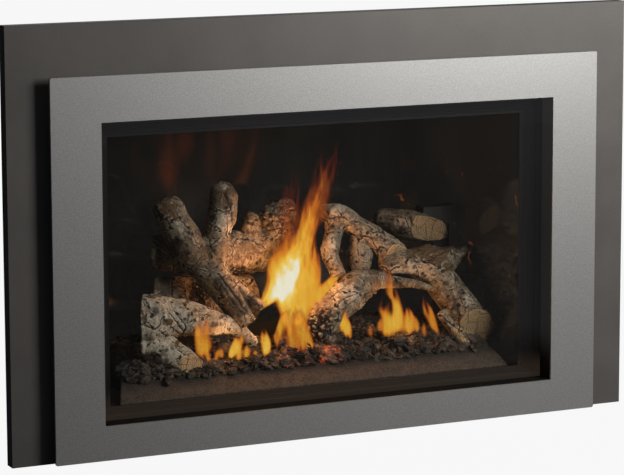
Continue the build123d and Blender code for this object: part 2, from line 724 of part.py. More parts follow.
def slide_switch():
    x = MOD_X + 20 + 0.4
    body = slab(x, x + 7, MOD_Y - 3, MOD_Y + 4.6, 24.2, 30.8)
    return chamfer(body.edges().group_by(Axis.Y)[0], 0.6)


def battery_holder():
    """Open tray with four cells."""
    z0 = BASE_Z + SHEET
    tray = slab(40, 130, 70, 134, z0, z0 + 14) - slab(42, 128, 72, 132, z0 + 2, z0 + 20)
    for i in range(4):
        y = 80 + i * 14.6
        tray += rod((42, y, z0 + 8.7), (128, y, z0 + 8.7), 7)
    return tray


JB_X = 290.0
JB_Y = 72.0
ROCKER_Z = 36.0
ROCKER_X = JB_X + 30
DIAL_X = JB_X + 72


def junction_box():
    z0 = BASE_Z + SHEET
    body = slab(JB_X, JB_X + 100, JB_Y, JB_Y + 60, z0, 60)
    body = fillet(body.edges().filter_by(Axis.Z), 3)
    body -= slab(ROCKER_X - 8, ROCKER_X + 8, JB_Y - 1, JB_Y + 12, ROCKER_Z - 13, ROCKER_Z + 13)
    body += rod((ROCKER_X - 9, JB_Y + 3, ROCKER_Z), (ROCKER_X + 9, JB_Y + 3, ROCKER_Z), PIN_R)
    body += rod((DIAL_X, JB_Y - FIT - 9, AXIS_Z), (DIAL_X, JB_Y, AXIS_Z), SHAFT_R)
    return body


def rocker():
    y = JB_Y
    z = ROCKER_Z
    shape = [(y + 8, z - 5), (y + 1, z - 11), (y - 2.5, z - 11), (y - 1.2, z), (y - 3.5, z + 11),
             (y + 1, z + 11), (y + 8, z + 5)]
    body = side(shape, ROCKER_X - 7.6, ROCKER_X + 7.6)
    return body - rod((ROCKER_X - 9, y + 3, z), (ROCKER_X + 9, y + 3, z), PIN_R + RUN)


save("gas_valve_body", gas_valve())
save("gas_inlet_fitting", gas_inlet())
save("flame_knob", knob(FLAME_X, KNOB_Y, AXIS_Z, 13, 5))
save("gas_knob", knob(GAS_X, KNOB_Y, AXIS_Z, 15, 6))
save("control_module", control_module())
save("receiver_switch", slide_switch())
save("battery_holder", battery_holder())
save("junction_box", junction_box())
save("rocker_switch", rocker())
save("fan_knob", knob(DIAL_X, JB_Y - FIT, AXIS_Z, 12, 5))


# ------------------------------------------------------------------ blower
def blade(angle):
    """Forward curved blade between an inner and an outer radius."""
    def at(radius, turn):
        a = angle + radians(turn)
        return radius * cos(a), radius * sin(a)

    outer = FAN_R - 0.4
    inner = FAN_R * 0.68
    mid = (outer + inner) / 2
    top = ThreePointArc(at(inner, 0), at(mid, 6.5), at(outer, 20))
    low = ThreePointArc(at(inner, 3.2), at(mid, 9.6), at(outer, 22.2))
    ends = Line(top @ 0, low @ 0) + Line(top @ 1, low @ 1)
    plane = Plane(origin=(-FAN_HALF, FAN_Y, FAN_Z), x_dir=(0, 1, 0), z_dir=(1, 0, 0))
    return extrude(plane * make_face(top + low + ends), amount=2 * FAN_HALF)


def impeller():
    """Cross-flow impeller: curved blades between three discs on a thin shaft."""
    parts = [blade(2 * pi * i / FAN_BLADES) for i in range(FAN_BLADES)]
    for x in (-FAN_HALF, -1, FAN_HALF - 2):
        parts.append(rod((x, FAN_Y, FAN_Z), (x + 2, FAN_Y, FAN_Z), FAN_R))
    parts.append(rod((-FAN_HALF - 12, FAN_Y, FAN_Z), (FAN_HALF + 18, FAN_Y, FAN_Z), FAN_SHAFT_R))
    return Part() + parts


END_X = FAN_HALF + 4


def blower_housing():
    """Scroll in two sheets between end plates; air comes in at the front and leaves upwards."""
    y_back = CASE_BACK_Y - SHEET - 3
    y_front = BACK_IN + SHEET + 3
    scroll = [(y_back, 128), (y_back, FAN_Z - 8), (y_back - 5, FAN_Z - 20), (FAN_Y + 6, FAN_Z - 28),
              (FAN_Y - 8, FAN_Z - 29), (FAN_Y - 18, FAN_Z - 26)]
    tongue = [(y_front, FAN_Z + 24), (y_front + 5, FAN_Z + 19), (y_front + 9, FAN_Z + 21)]
    tongue = [(y_front, 128)] + tongue
    body = side(folded(scroll, -SHEET)[::-1], -END_X, END_X)
    body += side(folded(tongue), -END_X, END_X)
    cheek = [(y_front - 1, 128), (y_back + 1.2, 128), (y_back + 1.2, BASE_Z + SHEET), (y_front - 1, BASE_Z + SHEET)]
    for s in (-1, 1):
        x0 = min(s * END_X, s * (END_X + SHEET))
        body += side(cheek, x0, x0 + SHEET)
        boss = s * (END_X + SHEET)
        if s < 0:
            body += rod((boss - 8, FAN_Y, FAN_Z), (boss, FAN_Y, FAN_Z), 8)
    bore = FAN_SHAFT_R + RUN
    return body - rod((-END_X - 12, FAN_Y, FAN_Z), (END_X + 12, FAN_Y, FAN_Z), bore)


def blower_motor():
    """Shaded pole motor with its square stack and bearing nose."""
    x = END_X + SHEET
    body = rod((x, FAN_Y, FAN_Z), (x + 10, FAN_Y, FAN_Z), 14)
    body += slab(x + 10, x + 34, FAN_Y - 24, FAN_Y + 24, FAN_Z - 24, FAN_Z + 24)
    body += rod((x + 34, FAN_Y, FAN_Z), (x + 42, FAN_Y, FAN_Z), 14)
    body -= rod((x - 1, FAN_Y, FAN_Z), (x + 16, FAN_Y, FAN_Z), FAN_SHAFT_R + RUN)
    foot = [(x + 12, FAN_Y - 20), (x + 32, FAN_Y - 20), (x + 32, FAN_Y + 20), (x + 12, FAN_Y + 20)]
    return body + plan(foot, BASE_Z + SHEET, FAN_Z - 24)


save("blower_impeller", impeller())
save("blower_housing", blower_housing())
save("blower_motor", blower_motor())


# ------------------------------------------------------------------ log fire
SIDES = 11
ROUGH = 0.09
SPREAD = HALF_FRONT / 400      # logs and embers keep their share of the firebox width


def across(point, heading, radius, seed, sides, rough):
    """Irregular outline square to a branch's heading."""
    x_dir = Vector(0, 1, 0).cross(heading)
    plane = Plane(origin=point, x_dir=x_dir, z_dir=heading)
    points = []
    for k in range(sides):
        a = 2 * pi * k / sides
        r = radius * (1 + rough * sin(seed + 2.4 * k) + rough / 2 * sin(1.7 * seed + 4.1 * k))
        points.append((r * cos(a), r * sin(a)))
    return plane * outline(points)


def branch(stations, seed=0.0, sides=SIDES, rough=ROUGH):
    """Tapered crooked limb through (x, y, z, radius) stations."""
    points = [Vector(*s[:3]) for s in stations]
    rings = []
    last = len(stations) - 1
    for i, s in enumerate(stations):
        heading = points[min(i + 1, last)] - points[max(i - 1, 0)]
        rings.append(across(points[i], heading, s[3], seed + 0.35 * i, sides, rough))
    return loft(rings, ruled=True)


# limbs of each log: stations of x, y, z, radius, then the planes that saw it off
SIDE = (-0.91, 0.42, 0)
LEFT_SAW = ((-282, 146, 190), SIDE)
FRONT_LEFT = [
    ([(-330, 146, 196, 39), (-285, 146, 194, 41), (-240, 146, 193, 37), (-191, 146, 186, 31),
      (-153, 150, 178, 22), (-105, 156, 160, 15), (-72, 160, 134, 12)], [LEFT_SAW]),
    ([(-330, 146, 160, 32), (-279, 142, 157, 33), (-243, 124, 137, 28), (-215, 106, 119, 21),
      (-195, 94, 106, 20)], [LEFT_SAW, ((-221, 98, 118), (0.24, -0.94, -0.23))]),
]
FRONT_FORK = [
    ([(-204, 227, 373, 24), (-192, 215, 337, 30), (-169, 205, 299, 31), (-141, 192, 262, 28),
      (-119, 170, 224, 24), (-88, 152, 167, 19)], []),
    ([(-96, 235, 391, 21), (-102, 222, 351, 26), (-120, 207, 313, 24), (-141, 194, 269, 26)], []),
    ([(-130, 184, 252, 15), (-96, 166, 227, 13), (-66, 150, 197, 11)], []),
]
REAR_LEFT = [
    ([(-250, 262, 287, 28), (-217, 262, 285, 30), (-130, 260, 272, 34), (-28, 270, 273, 39),
      (50, 270, 268, 38), (92, 262, 262, 25)], [((-221, 250, 285), SIDE)]),
    ([(-32, 268, 290, 22), (-30, 266, 316, 17), (-26, 264, 338, 11)], []),
    ([(6, 272, 286, 34), (22, 270, 318, 34), (34, 268, 338, 25), (44, 266, 356, 14)], []),
]
REAR_LOWER = [
    ([(-250, 252, 209, 37), (-214, 252, 206, 38), (-130, 256, 195, 41), (-34, 258, 190, 46)],
     [((-217, 250, 205), SIDE)]),
]
ARCH = [
    ([(100, 246, 338, 14), (116, 243, 334, 18), (140, 236, 325, 19), (161, 226, 308, 19),
      (184, 212, 291, 21), (208, 196, 271, 22), (223, 186, 255, 19), (241, 174, 239, 18)],
     [((221, 185, 258), (0.18, -0.93, -0.31))]),
    ([(122, 240, 322, 17), (114, 230, 301, 16), (102, 213, 280, 16), (97, 200, 260, 15),
      (102, 178, 232, 13)], []),
    ([(161, 226, 298, 13), (165, 220, 278, 20), (159, 212, 256, 24), (148, 200, 235, 22)], []),
]
REAR_RIGHT = [
    ([(213, 248, 318, 17), (236, 232, 311, 25), (264, 214, 307, 25), (288, 196, 302, 22),
      (326, 172, 288, 20)], [((286, 195, 304), (0, -1, -0.02))]),
]
SPLIT_RIGHT = [
    ([(191, 183, 247, 16), (243, 185, 246, 28), (288, 186, 241, 35), (324, 186, 250, 23),
      (352, 184, 262, 8)], []),
]
FRONT_CENTRE = [
    ([(46, 147, 141, 31), (63, 151, 169, 32), (88, 157, 188, 29), (113, 164, 204, 30),
      (141, 171, 216, 29), (167, 177, 221, 24), (187, 181, 223, 16)], []),
    ([(176, 176, 218, 12), (233, 165, 213, 8), (278, 160, 199, 5)], []),
]
FRONT_RIGHT = [
    ([(276, 204, 243, 20), (286, 190, 230, 27), (312, 155, 183, 31), (340, 118, 133, 31),
      (366, 80, 84, 31)], [((341, 116, 133), (-0.02, -0.93, -0.37))]),
    ([(283, 142, 158, 11), (300, 126, 132, 10), (317, 112, 108, 8)], []),
]


def limb(stations, saws, seed):
    """One limb, sawn off where the planes say."""
    body = branch([(x * SPREAD, y, z, radius) for x, y, z, radius in stations], seed)
    for (x, y, z), facing in saws:
        saw = Plane(origin=(x * SPREAD, y, z), z_dir=facing)
        body = split(body, bisect_by=saw, keep=Keep.BOTTOM)
    return body


def grown(limbs, seed):
    """Limbs of one log grown together."""
    parts = [limb(stations, saws, seed + 1.3 * i) for i, (stations, saws) in enumerate(limbs)]
    whole = parts[0]
    for part in parts[1:]:
        whole = whole + part
    return whole


def bed_height(x, y):
    """Top of the ember bed: smooth front apron, then a lumpy slope up to the back."""
    t = min(max((y - FIRE_Y0) / 90, 0), 1)
    z = 74 + (BED_TOP - 74) * (1 - (1 - t) ** 1.6)
    lumps = 0 if y < 100 else 3.5 * sin(0.041 * x + 0.05 * y) + 2.5 * sin(0.083 * x - 0.03 * y + 1)
    return z + lumps


BED_DEPTHS = [FIRE_Y0 + d for d in (0, 18, 38, 62, 90, 130, 180, 230, 282)]
BED_STATIONS = (-357, -320, -270, -215, -160, -105, -50, 5, 60, 115, 170, 225, 280, 330, 372)


def ember_bed():
    sections = []
    for x in [x * SPREAD for x in BED_STATIONS]:
        top = [(y, bed_height(x, y)) for y in BED_DEPTHS]
        ring = [(FIRE_Y0, FLOOR_Z)] + top + [(BED_DEPTHS[-1], FLOOR_Z)]
        plane = Plane(origin=(x, 0, 0), x_dir=(0, 1, 0), z_dir=(1, 0, 0))
        sections.append(plane * outline(ring))
    bed = loft(sections, ruled=True)
    ends = [(-357, 59), (372, 59), (350, 110), (338, 170), (306, 345), (-306, 345), (-318, 150), (-340, 100)]
    bed &= plan([(x * SPREAD, y) for x, y in ends], FLOOR_Z - 1, 200)
    cover = slab(-PAN_X - FIT, PAN_X + FIT, PAN_Y0 - FIT, PAN_Y1 + FIT, 0, PAN_TOP + FIT)
    bed -= slab(PILOT[0] - 24, PILOT[0] + 24, PILOT[1] - 16, PILOT[1] + 10, PAD_Z, 200)
    return bed - cover


# loose chunks of char on the bed: x, y, size, turn
CHUNKS = [
    (-300, 92, 11, 20), (-262, 84, 9, 70), (-176, 100, 12, 140), (-140, 92, 9, 30), (-96, 104, 13, 95),
    (-40, 96, 10, 10), (8, 106, 12, 60), (66, 98, 10, 120), (112, 106, 13, 15), (152, 104, 16, 80),
    (188, 116, 18, 35), (222, 104, 13, 110), (262, 98, 10, 50), (296, 100, 9, 150), (-20, 150, 14, 45),
    (170, 142, 15, 100), (246, 140, 15, 20), (-134, 138, 23, 15),
]


def chunk(x, y, size, turn, bed):
    """Broken lump of char, flat where it lies on the bed."""
    z = bed_height(x, y)
    c = cos(radians(turn)) * size
    s = sin(radians(turn)) * size
    ends = [(x - 1.1 * c, y - 1.1 * s * 0.7, z + 1, 0.55 * size), (x, y, z + 3, 0.9 * size),
            (x + 1.2 * c, y + 1.2 * s * 0.7, z + 2, 0.45 * size)]
    if abs(c) < 0.35 * size:
        ends = [(x - size, y, z + 1, 0.55 * size), (x, y, z + 3, 0.9 * size), (x + size, y, z + 2, 0.4 * size)]
    return branch(ends, turn, 7, 0.16) - bed


def biggest(shape):
    """The main lump when a cut leaves crumbs."""
    return shape.solids().sort_by(SortBy.VOLUME)[-1]


SHELF_Z = 152.0
SHELF_Y1 = 284.0
HEAD_Y0 = 210.0
HEAD_Y1 = 240.0
HEAD_X1 = half(HEAD_Y1) - 2.6
HEAD_X0 = HEAD_X1 - 65
HEAD_TOP = 338.0


def log_grate():
    """Welded grate: shelf under the rear left logs, rail, stand with a box head, arm and gusset."""
    path = [(236, PAD_Z), (236, SHELF_Z), (SHELF_Y1, SHELF_Z), (SHELF_Y1, PAD_Z)]
    body = side(folded(path, -2), -225 * SPREAD, 40 * SPREAD)
    x0 = HEAD_X1 - 32
    body += slab(30 * SPREAD, x0 + 4, SHELF_Y1 - 2, SHELF_Y1, PAD_Z, PAD_Z + 16)
    body += slab(x0, x0 + 4, HEAD_Y1 - 4, SHELF_Y1, PAD_Z, PAD_Z + 16)
    head = slab(HEAD_X0, HEAD_X1, HEAD_Y0, HEAD_Y1, HEAD_TOP - 30, HEAD_TOP)
    head -= slab(HEAD_X0 + 2, HEAD_X1 - 2, HEAD_Y0 + 2, HEAD_Y1 - 2, 0, HEAD_TOP - 2)
    post = slab(x0, HEAD_X1, HEAD_Y1 - 4, HEAD_Y1, PAD_Z, HEAD_TOP - 1)
    arm = slab(x0, HEAD_X1 - 8, 170, HEAD_Y1 - 2, 205, 208)
    gusset = side([(190, 206), (HEAD_Y1 - 2, 206), (HEAD_Y1 - 2, 160)], x0 + 10, x0 + 12)
    return body + head + post + arm + gusset


bed = ember_bed()
grate = log_grate() - bed
log_b = grown(FRONT_LEFT, 0.4) - bed
log_h = grown(FRONT_RIGHT, 3.1) - bed - grate
log_g = grown(FRONT_CENTRE, 2.2) - bed - log_h - grate
log_low = grown(REAR_LOWER, 5.2) - grate
log_c = grown(REAR_LEFT, 1.5) - log_low
log_a = grown(FRONT_FORK, 0.9) - log_b - log_c - log_low
log_f = grown(SPLIT_RIGHT, 2.9) - log_g - log_h - grate
log_e = grown(REAR_RIGHT, 4.0) - log_f - grate
log_d = grown(ARCH, 1.1) - log_g - log_f - log_c - log_e
save("ember_bed", bed)
save("log_grate", grate)
save("log_front_left", biggest(log_b))
save("log_front_centre", biggest(log_g))
save("log_front_right", biggest(log_h))
save("log_rear_lower", biggest(log_low))
save("log_rear_left", biggest(log_c))
save("log_front_fork", biggest(log_a))
save("log_split_right", biggest(log_f))
save("log_rear_right", biggest(log_e))
save("log_arch", biggest(log_d))
lumps = []
for x, y, size, turn in CHUNKS:
    lump = chunk(x * SPREAD, y, size, turn, Pos(0, 0, RUN) * bed)
    for other in [log_b, log_g, log_h] + lumps:
        lump = lump - other
    lumps.append(biggest(lump))
save("char_chunks", Compound(children=lumps))
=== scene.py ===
import bpy
import bmesh
import json
from math import cos, hypot, pi, sin, sqrt
from random import Random
import numpy as np
from mathutils import Matrix, Vector, noise

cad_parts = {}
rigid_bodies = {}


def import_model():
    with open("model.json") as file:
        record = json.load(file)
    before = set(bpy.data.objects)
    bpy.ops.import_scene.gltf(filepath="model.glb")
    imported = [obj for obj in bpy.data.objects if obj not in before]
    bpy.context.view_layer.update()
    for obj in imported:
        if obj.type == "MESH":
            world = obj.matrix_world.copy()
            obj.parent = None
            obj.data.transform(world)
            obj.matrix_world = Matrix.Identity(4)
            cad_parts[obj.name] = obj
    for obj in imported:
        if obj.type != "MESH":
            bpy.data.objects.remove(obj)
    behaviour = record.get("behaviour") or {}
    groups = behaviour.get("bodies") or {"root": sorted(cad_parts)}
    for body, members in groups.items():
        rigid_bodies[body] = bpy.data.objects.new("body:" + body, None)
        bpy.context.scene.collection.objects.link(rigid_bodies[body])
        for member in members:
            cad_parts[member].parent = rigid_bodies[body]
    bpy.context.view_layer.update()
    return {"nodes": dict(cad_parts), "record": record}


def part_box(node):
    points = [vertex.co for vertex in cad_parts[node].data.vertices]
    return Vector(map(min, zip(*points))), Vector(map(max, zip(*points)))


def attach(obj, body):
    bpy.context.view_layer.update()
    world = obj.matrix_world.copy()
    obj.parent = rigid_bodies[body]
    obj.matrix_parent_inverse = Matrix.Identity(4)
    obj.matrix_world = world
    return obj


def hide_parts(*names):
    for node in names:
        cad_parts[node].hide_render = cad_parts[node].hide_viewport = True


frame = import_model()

MM = 0.001
SETBACK = 204.0        # mm from the surround's front plane to the middle of the footprint
COS_SEEN, SIN_SEEN = 0.907, 0.422    # turn of the usual viewing side


def at(x, y, z):
    """Point given in mm with Y = 0 on the surround's front plane."""
    return Vector((x * MM, (y - SETBACK) * MM, z * MM))


# ------------------------------------------------------------------ node writing
class Link:
    """A node's output that can be used in arithmetic."""

    def __init__(self, nodes, socket):
        self.nodes = nodes
        self.socket = socket

    def _math(self, operation, a, b):
        return self.nodes.node("ShaderNodeMath", {"operation": operation}, {0: a, 1: b})[0]

    def __add__(self, other):
        return self._math("ADD", self, other)

    def __radd__(self, other):
        return self._math("ADD", other, self)

    def __sub__(self, other):
        return self._math("SUBTRACT", self, other)

    def __rsub__(self, other):
        return self._math("SUBTRACT", other, self)

    def __mul__(self, other):
        return self._math("MULTIPLY", self, other)

    def __rmul__(self, other):
        return self._math("MULTIPLY", other, self)

    def __truediv__(self, other):
        return self._math("DIVIDE", self, other)

    def above(self, level):
        return self._math("GREATER_THAN", self, level)

    def most(self, other):
        return self._math("MAXIMUM", self, other)

    def least(self, other):
        return self._math("MINIMUM", self, other)

    def ramp(self, low, high, out_low=0.0, out_high=1.0):
        """Smooth step from one level to another."""
        return self.nodes.node("ShaderNodeMapRange", {"interpolation_type": "SMOOTHSTEP", "clamp": True},
                               {0: self, 1: low, 2: high, 3: out_low, 4: out_high})[0]


class Made:
    """A node just made, whose outputs are read by index or name."""

    def __init__(self, nodes, node):
        self.nodes = nodes
        self.outputs = node.outputs

    def __getitem__(self, key):
        return Link(self.nodes, self.outputs[key])


class Nodes:
    """A node tree that is written one node at a time."""

    def __init__(self, tree):
        self.tree = tree
        self.tree.nodes.clear()

    def node(self, kind, settings=None, sockets=None):
        """New node; a socket takes a value, a link, or a list of links."""
        made = self.tree.nodes.new(kind)
        for key, value in (settings or {}).items():
            setattr(made, key, value)
        for key, value in (sockets or {}).items():
            for one in value if isinstance(value, list) else [value]:
                if isinstance(one, Link):
                    self.tree.links.new(one.socket, made.inputs[key])
                else:
                    made.inputs[key].default_value = one
        return Made(self, made)

    def vector(self, x=0.0, y=0.0, z=0.0):
        return self.node("ShaderNodeCombineXYZ", {}, {0: x, 1: y, 2: z})[0]

    def seen_straight(self):
        """1 for what the camera sees, straight or through the glass."""
        path = self.node("ShaderNodeLightPath")
        return path["Is Camera Ray"].most(path["Is Transmission Ray"])


def rgba(colour):
    return colour if isinstance(colour, Link) else (*colour, 1.0)


class Finish(Nodes):
    """One procedural material."""

    def __init__(self, name):
        self.material = bpy.data.materials.new(name)
        self.material.use_nodes = True
        super().__init__(self.material.node_tree)
        self.coords = None

    def place(self):
        """Object coordinates in metres."""
        if self.coords is None:
            self.coords = self.node("ShaderNodeTexCoord")["Object"]
        return self.coords

    def apart(self):
        """The three coordinates of the surface, in metres."""
        split = self.node("ShaderNodeSeparateXYZ", {}, {0: self.place()})
        return split[0], split[1], split[2]

    def stretched(self, scale):
        return self.node("ShaderNodeMapping", {}, {"Vector": self.place(), "Scale": scale})[0]

    def grain(self, scale, detail=4.0, rough=0.55, where=None, distort=0.0):
        """Noise value; scale is in cells per metre."""
        return self.node("ShaderNodeTexNoise", {}, {
            "Vector": where or self.place(), "Scale": scale, "Detail": detail, "Roughness": rough,
            "Distortion": distort})[0]

    def cells(self, scale, feature="F1", where=None):
        return self.node("ShaderNodeTexVoronoi", {"feature": feature}, {
            "Vector": where or self.place(), "Scale": scale})["Distance"]

    def attribute(self, name):
        return self.node("ShaderNodeAttribute", {"attribute_name": name})["Fac"]

    def mix(self, factor, a, b):
        """Colour mix; a and b are colours or links."""
        return self.node("ShaderNodeMix", {"data_type": "RGBA", "clamp_factor": True},
                         {0: factor, 6: rgba(a), 7: rgba(b)})[2]

    def bump(self, height, millimetres):
        return self.node("ShaderNodeBump", {}, {"Height": height, "Distance": millimetres * MM})[0]

    def surface(self, **sockets):
        """Principled surface; keys use underscores for spaces."""
        named = {key.replace("_", " "): value for key, value in sockets.items()}
        for key in ("Base Color", "Emission Color"):
            if key in named:
                named[key] = rgba(named[key])
        return self.closed(self.node("ShaderNodeBsdfPrincipled", {}, named))

    def closed(self, shader):
        self.node("ShaderNodeOutputMaterial", {}, {"Surface": shader[0]})
        return self.material


# ------------------------------------------------------------------ finishes
BLACK = (0.0, 0.0, 0.0)
SILL = (0.072, 0.110)           # heights in metres over which the sill's painted glow of dust ends
HEAD_RAIL = (0.503, 0.512)      # heights over which the head rail begins
# brown of dust that the sill emits as light: a painted glow
SILL_DUST_GLOW = (0.0180, 0.0125, 0.0092)


def charcoal_paint():
    """Painted sheet: colour drifts gently, the paint has a fine tooth."""
    f = Finish("charcoal_paint")
    drift = f.grain(9.0, 3.0)
    tooth = f.grain(900.0, 2.0, 0.6)
    tone = (drift * 0.5 + tooth * 0.5).ramp(0.3, 0.7)
    colour = f.mix(tone, (0.077, 0.0715, 0.0705), (0.110, 0.1025, 0.101))
    return f.surface(Base_Color=colour, Roughness=tooth * 0.12 + 0.36 + drift * 0.06,
                     Normal=f.bump(tooth, 0.03))


def silver_paint():
    """Metallic paint: flakes catch the light one by one."""
    f = Finish("silver_paint")
    drift = f.grain(7.0, 2.0)
    flake = f.cells(1100.0)
    speck = f.grain(1500.0, 1.0, 0.7)
    glint = f.grain(420.0, 2.0, 0.8)
    tone = (flake * 0.25 + speck * 0.25 + glint * 0.5).ramp(0.34, 0.62)
    colour = f.mix(tone, (0.262, 0.266, 0.277), (0.424, 0.427, 0.438))
    colour = f.mix(drift.ramp(0.35, 0.65) * 0.18, colour, (0.355, 0.358, 0.366))
    return f.surface(Base_Color=colour, Metallic=0.75, Roughness=flake * 0.2 + 0.36,
                     Normal=f.bump(speck + flake * 0.5, 0.05))


def plated_steel():
    """Plated sheet with faint rolling lines and spangle."""
    f = Finish("plated_steel")
    spangle = f.cells(160.0)
    lines = f.grain(60.0, 3.0, 0.6, f.stretched((1.0, 1.0, 14.0)))
    colour = f.mix((spangle * 0.5 + lines * 0.6).ramp(0.25, 0.75), (0.30, 0.31, 0.32), (0.46, 0.47, 0.48))
    return f.surface(Base_Color=colour, Metallic=0.55, Roughness=lines * 0.16 + 0.42,
                     Normal=f.bump(lines, 0.02))


def frame_black(name, dark, rough, painted_haze, sill_dust_glow):
    """Black frame round the glass: a painted grey sheen of light emitted towards the top and the right, and
    brown dust on the sill painted as an emitted glow.
    """
    f = Finish(name)
    tooth = f.grain(260.0, 2.0)
    dust = f.grain(1400.0, 1.0).ramp(0.62, 0.75)
    across, _, rise = f.apart()
    # painted sheen: the frame emits grey light that grows towards its top, its head rail and its right side
    up = rise.ramp(0.08, 0.16, 0.0, 0.6) + rise.ramp(0.30, 0.50, 0.0, 0.25) + rise.ramp(*HEAD_RAIL, 0.0, 0.5)
    painted_sheen = up * across.ramp(-0.45, 0.42, 0.55, 1.0)
    # painted glow: under the grey sheen, the sill emits the brown of dust
    glow = f.mix(painted_sheen, f.mix(rise.ramp(*SILL), sill_dust_glow, BLACK), painted_haze)
    return f.surface(Base_Color=f.mix(dust * 0.35, dark, (0.02, 0.019, 0.018)), IOR=1.2,
                     Roughness=tooth * 0.10 + dust * 0.1 + rough,
                     Emission_Color=glow, Emission_Strength=1.0, Normal=f.bump(tooth, 0.02))


def mirror_enamel(name, painted_fire_reflection, painted_flame_glints):
    """Polished black lining, a dark mirror with a faint film of soot, over which it emits painted light: a
    faint haze, the fire's blurred red reflection and orange glints of the flames.
    """
    f = Finish(name)
    film = f.grain(14.0, 4.0, 0.6, f.stretched((1.0, 1.0, 0.5)))
    speck = f.grain(500.0, 2.0)
    colour = f.mix(film.ramp(0.35, 0.75), (0.0085, 0.0085, 0.0075), (0.013, 0.0125, 0.011))
    # painted haze: the lining emits a faint light all over
    painted_haze = f.mix(film.ramp(0.35, 0.75), (0.0042, 0.0040, 0.0036), (0.0068, 0.0062, 0.0053))
    across, _, rise = f.apart()
    # painted reflection of the fire: red light emitted in a ragged band
    if painted_fire_reflection:
        curtain = f.grain(15.0, 3.0, 0.5, f.stretched((1.0, 1.0, 0.22)), 0.4)
        hem = f.grain(34.0, 2.0, 0.5, f.stretched((1.0, 1.0, 0.1)))
        band = (rise + (hem - 0.5) * 0.16).ramp(0.375, 0.42) * (1.0 - rise.ramp(0.43, 0.53))
        side = across.ramp(-0.34, -0.26) * (1.0 - across.ramp(-0.10, 0.06))
        painted_haze = f.mix(curtain.ramp(0.42, 0.66) * band * side * painted_fire_reflection, painted_haze, (0.050, 0.0125, 0.0055))
    # painted reflection of the flames: orange glints emitted in a band towards the right
    if painted_flame_glints:
        glint_spots = f.grain(46.0, 2.0, 0.5, f.stretched((1.0, 1.0, 0.8)), 1.2).ramp(0.68, 0.74)
        band = rise.ramp(0.18, 0.24) * (1.0 - rise.ramp(0.40, 0.44)) * across.ramp(0.15, 0.2)
        painted_haze = f.mix(glint_spots * band * painted_flame_glints, painted_haze, (0.16, 0.042, 0.014))
    return f.surface(Base_Color=colour, Roughness=film * 0.12 + speck * 0.03 + 0.02, IOR=1.75,
                     Emission_Color=painted_haze, Emission_Strength=1.0, Normal=f.bump(film, 0.05))


def stove_black():
    """Bare black sheet, a little browned by heat."""
    f = Finish("stove_black")
    tooth = f.grain(1200.0, 2.0, 0.6)
    heat = f.grain(12.0, 3.0)
    colour = f.mix(heat.ramp(0.35, 0.7), (0.018, 0.017, 0.016), (0.034, 0.031, 0.028))
    return f.surface(Base_Color=colour, Roughness=tooth * 0.2 + 0.45, Normal=f.bump(tooth, 0.03))


def brown_apron():
    """Heat stained floor in front of the embers, with painted shade darkening it towards the bottom and dust
    specks higher up.
    """
    f = Finish("stained_floor")
    cloud = f.grain(22.0, 5.0, 0.6)
    speck = f.grain(700.0, 2.0, 0.6)
    colour = f.mix(cloud.ramp(0.3, 0.7), (0.050, 0.035, 0.022), (0.105, 0.076, 0.048))
    _, _, rise = f.apart()
    # painted shade: darker towards the bottom; the same mask lays more dust specks higher up
    lit_and_dusty = (rise + (cloud - 0.5) * 0.04).ramp(0.045, 0.074)
    colour = f.mix(lit_and_dusty, (0.030, 0.021, 0.0135), colour)
    colour = f.mix(speck.ramp(0.56, 0.68) * (lit_and_dusty * 0.6 + 0.15), colour, (0.13, 0.105, 0.08))
    return f.surface(Base_Color=colour, Roughness=cloud * 0.2 + 0.42, IOR=1.25,
                     Normal=f.bump(speck, 0.08))


def clear_glass():
    """Ceramic pane with faint smears."""
    f = Finish("ceramic_glass")
    smear = f.grain(10.0, 3.0, 0.5)
    return f.surface(Base_Color=(0.02, 0.02, 0.02), IOR=1.5,
                     Roughness=smear * 0.03 + 0.01, Alpha=smear * 0.02 + 0.035)


def rope_fibre():
    """Twisted glass fibre."""
    f = Finish("gasket_rope")
    twist = f.grain(300.0, 3.0, 0.6, None, 1.5)
    colour = f.mix(twist, (0.10, 0.098, 0.09), (0.30, 0.29, 0.27))
    return f.surface(Base_Color=colour, Roughness=0.9, Normal=f.bump(twist, 0.3))


def brass():
    """Turned brass."""
    f = Finish("brass")
    turn = f.grain(40.0, 2.0, 0.6, f.stretched((20.0, 1.0, 1.0)))
    colour = f.mix(turn, (0.42, 0.27, 0.09), (0.62, 0.43, 0.17))
    return f.surface(Base_Color=colour, Metallic=1.0, Roughness=turn * 0.2 + 0.22,
                     Normal=f.bump(turn, 0.02))


def cast_metal():
    """Pitted die casting."""
    f = Finish("cast_metal")
    pits = f.grain(420.0, 4.0, 0.6)
    colour = f.mix(pits.ramp(0.35, 0.7), (0.20, 0.20, 0.205), (0.42, 0.42, 0.42))
    return f.surface(Base_Color=colour, Metallic=0.85, Roughness=pits * 0.25 + 0.35,
                     Normal=f.bump(pits, 0.15))


def moulded(name, low, high):
    """Moulded plastic with a fine tooth."""
    f = Finish(name)
    tooth = f.grain(1600.0, 2.0)
    wear = f.grain(35.0, 3.0)
    colour = f.mix(wear.ramp(0.4, 0.7), low, high)
    return f.surface(Base_Color=colour, Roughness=tooth * 0.2 + 0.4, Normal=f.bump(tooth, 0.03))


def screen_black():
    """Blackened wire."""
    f = Finish("screen_wire")
    tooth = f.grain(900.0, 1.0)
    colour = f.mix(tooth, (0.012, 0.012, 0.012), (0.03, 0.03, 0.03))
    return f.surface(Base_Color=colour, Roughness=tooth * 0.2 + 0.4, Metallic=0.3)


BARK_VALUES = ("along", "around", "char", "peel", "cut", "rings", "light", "stain", "groove", "crest", "tone")


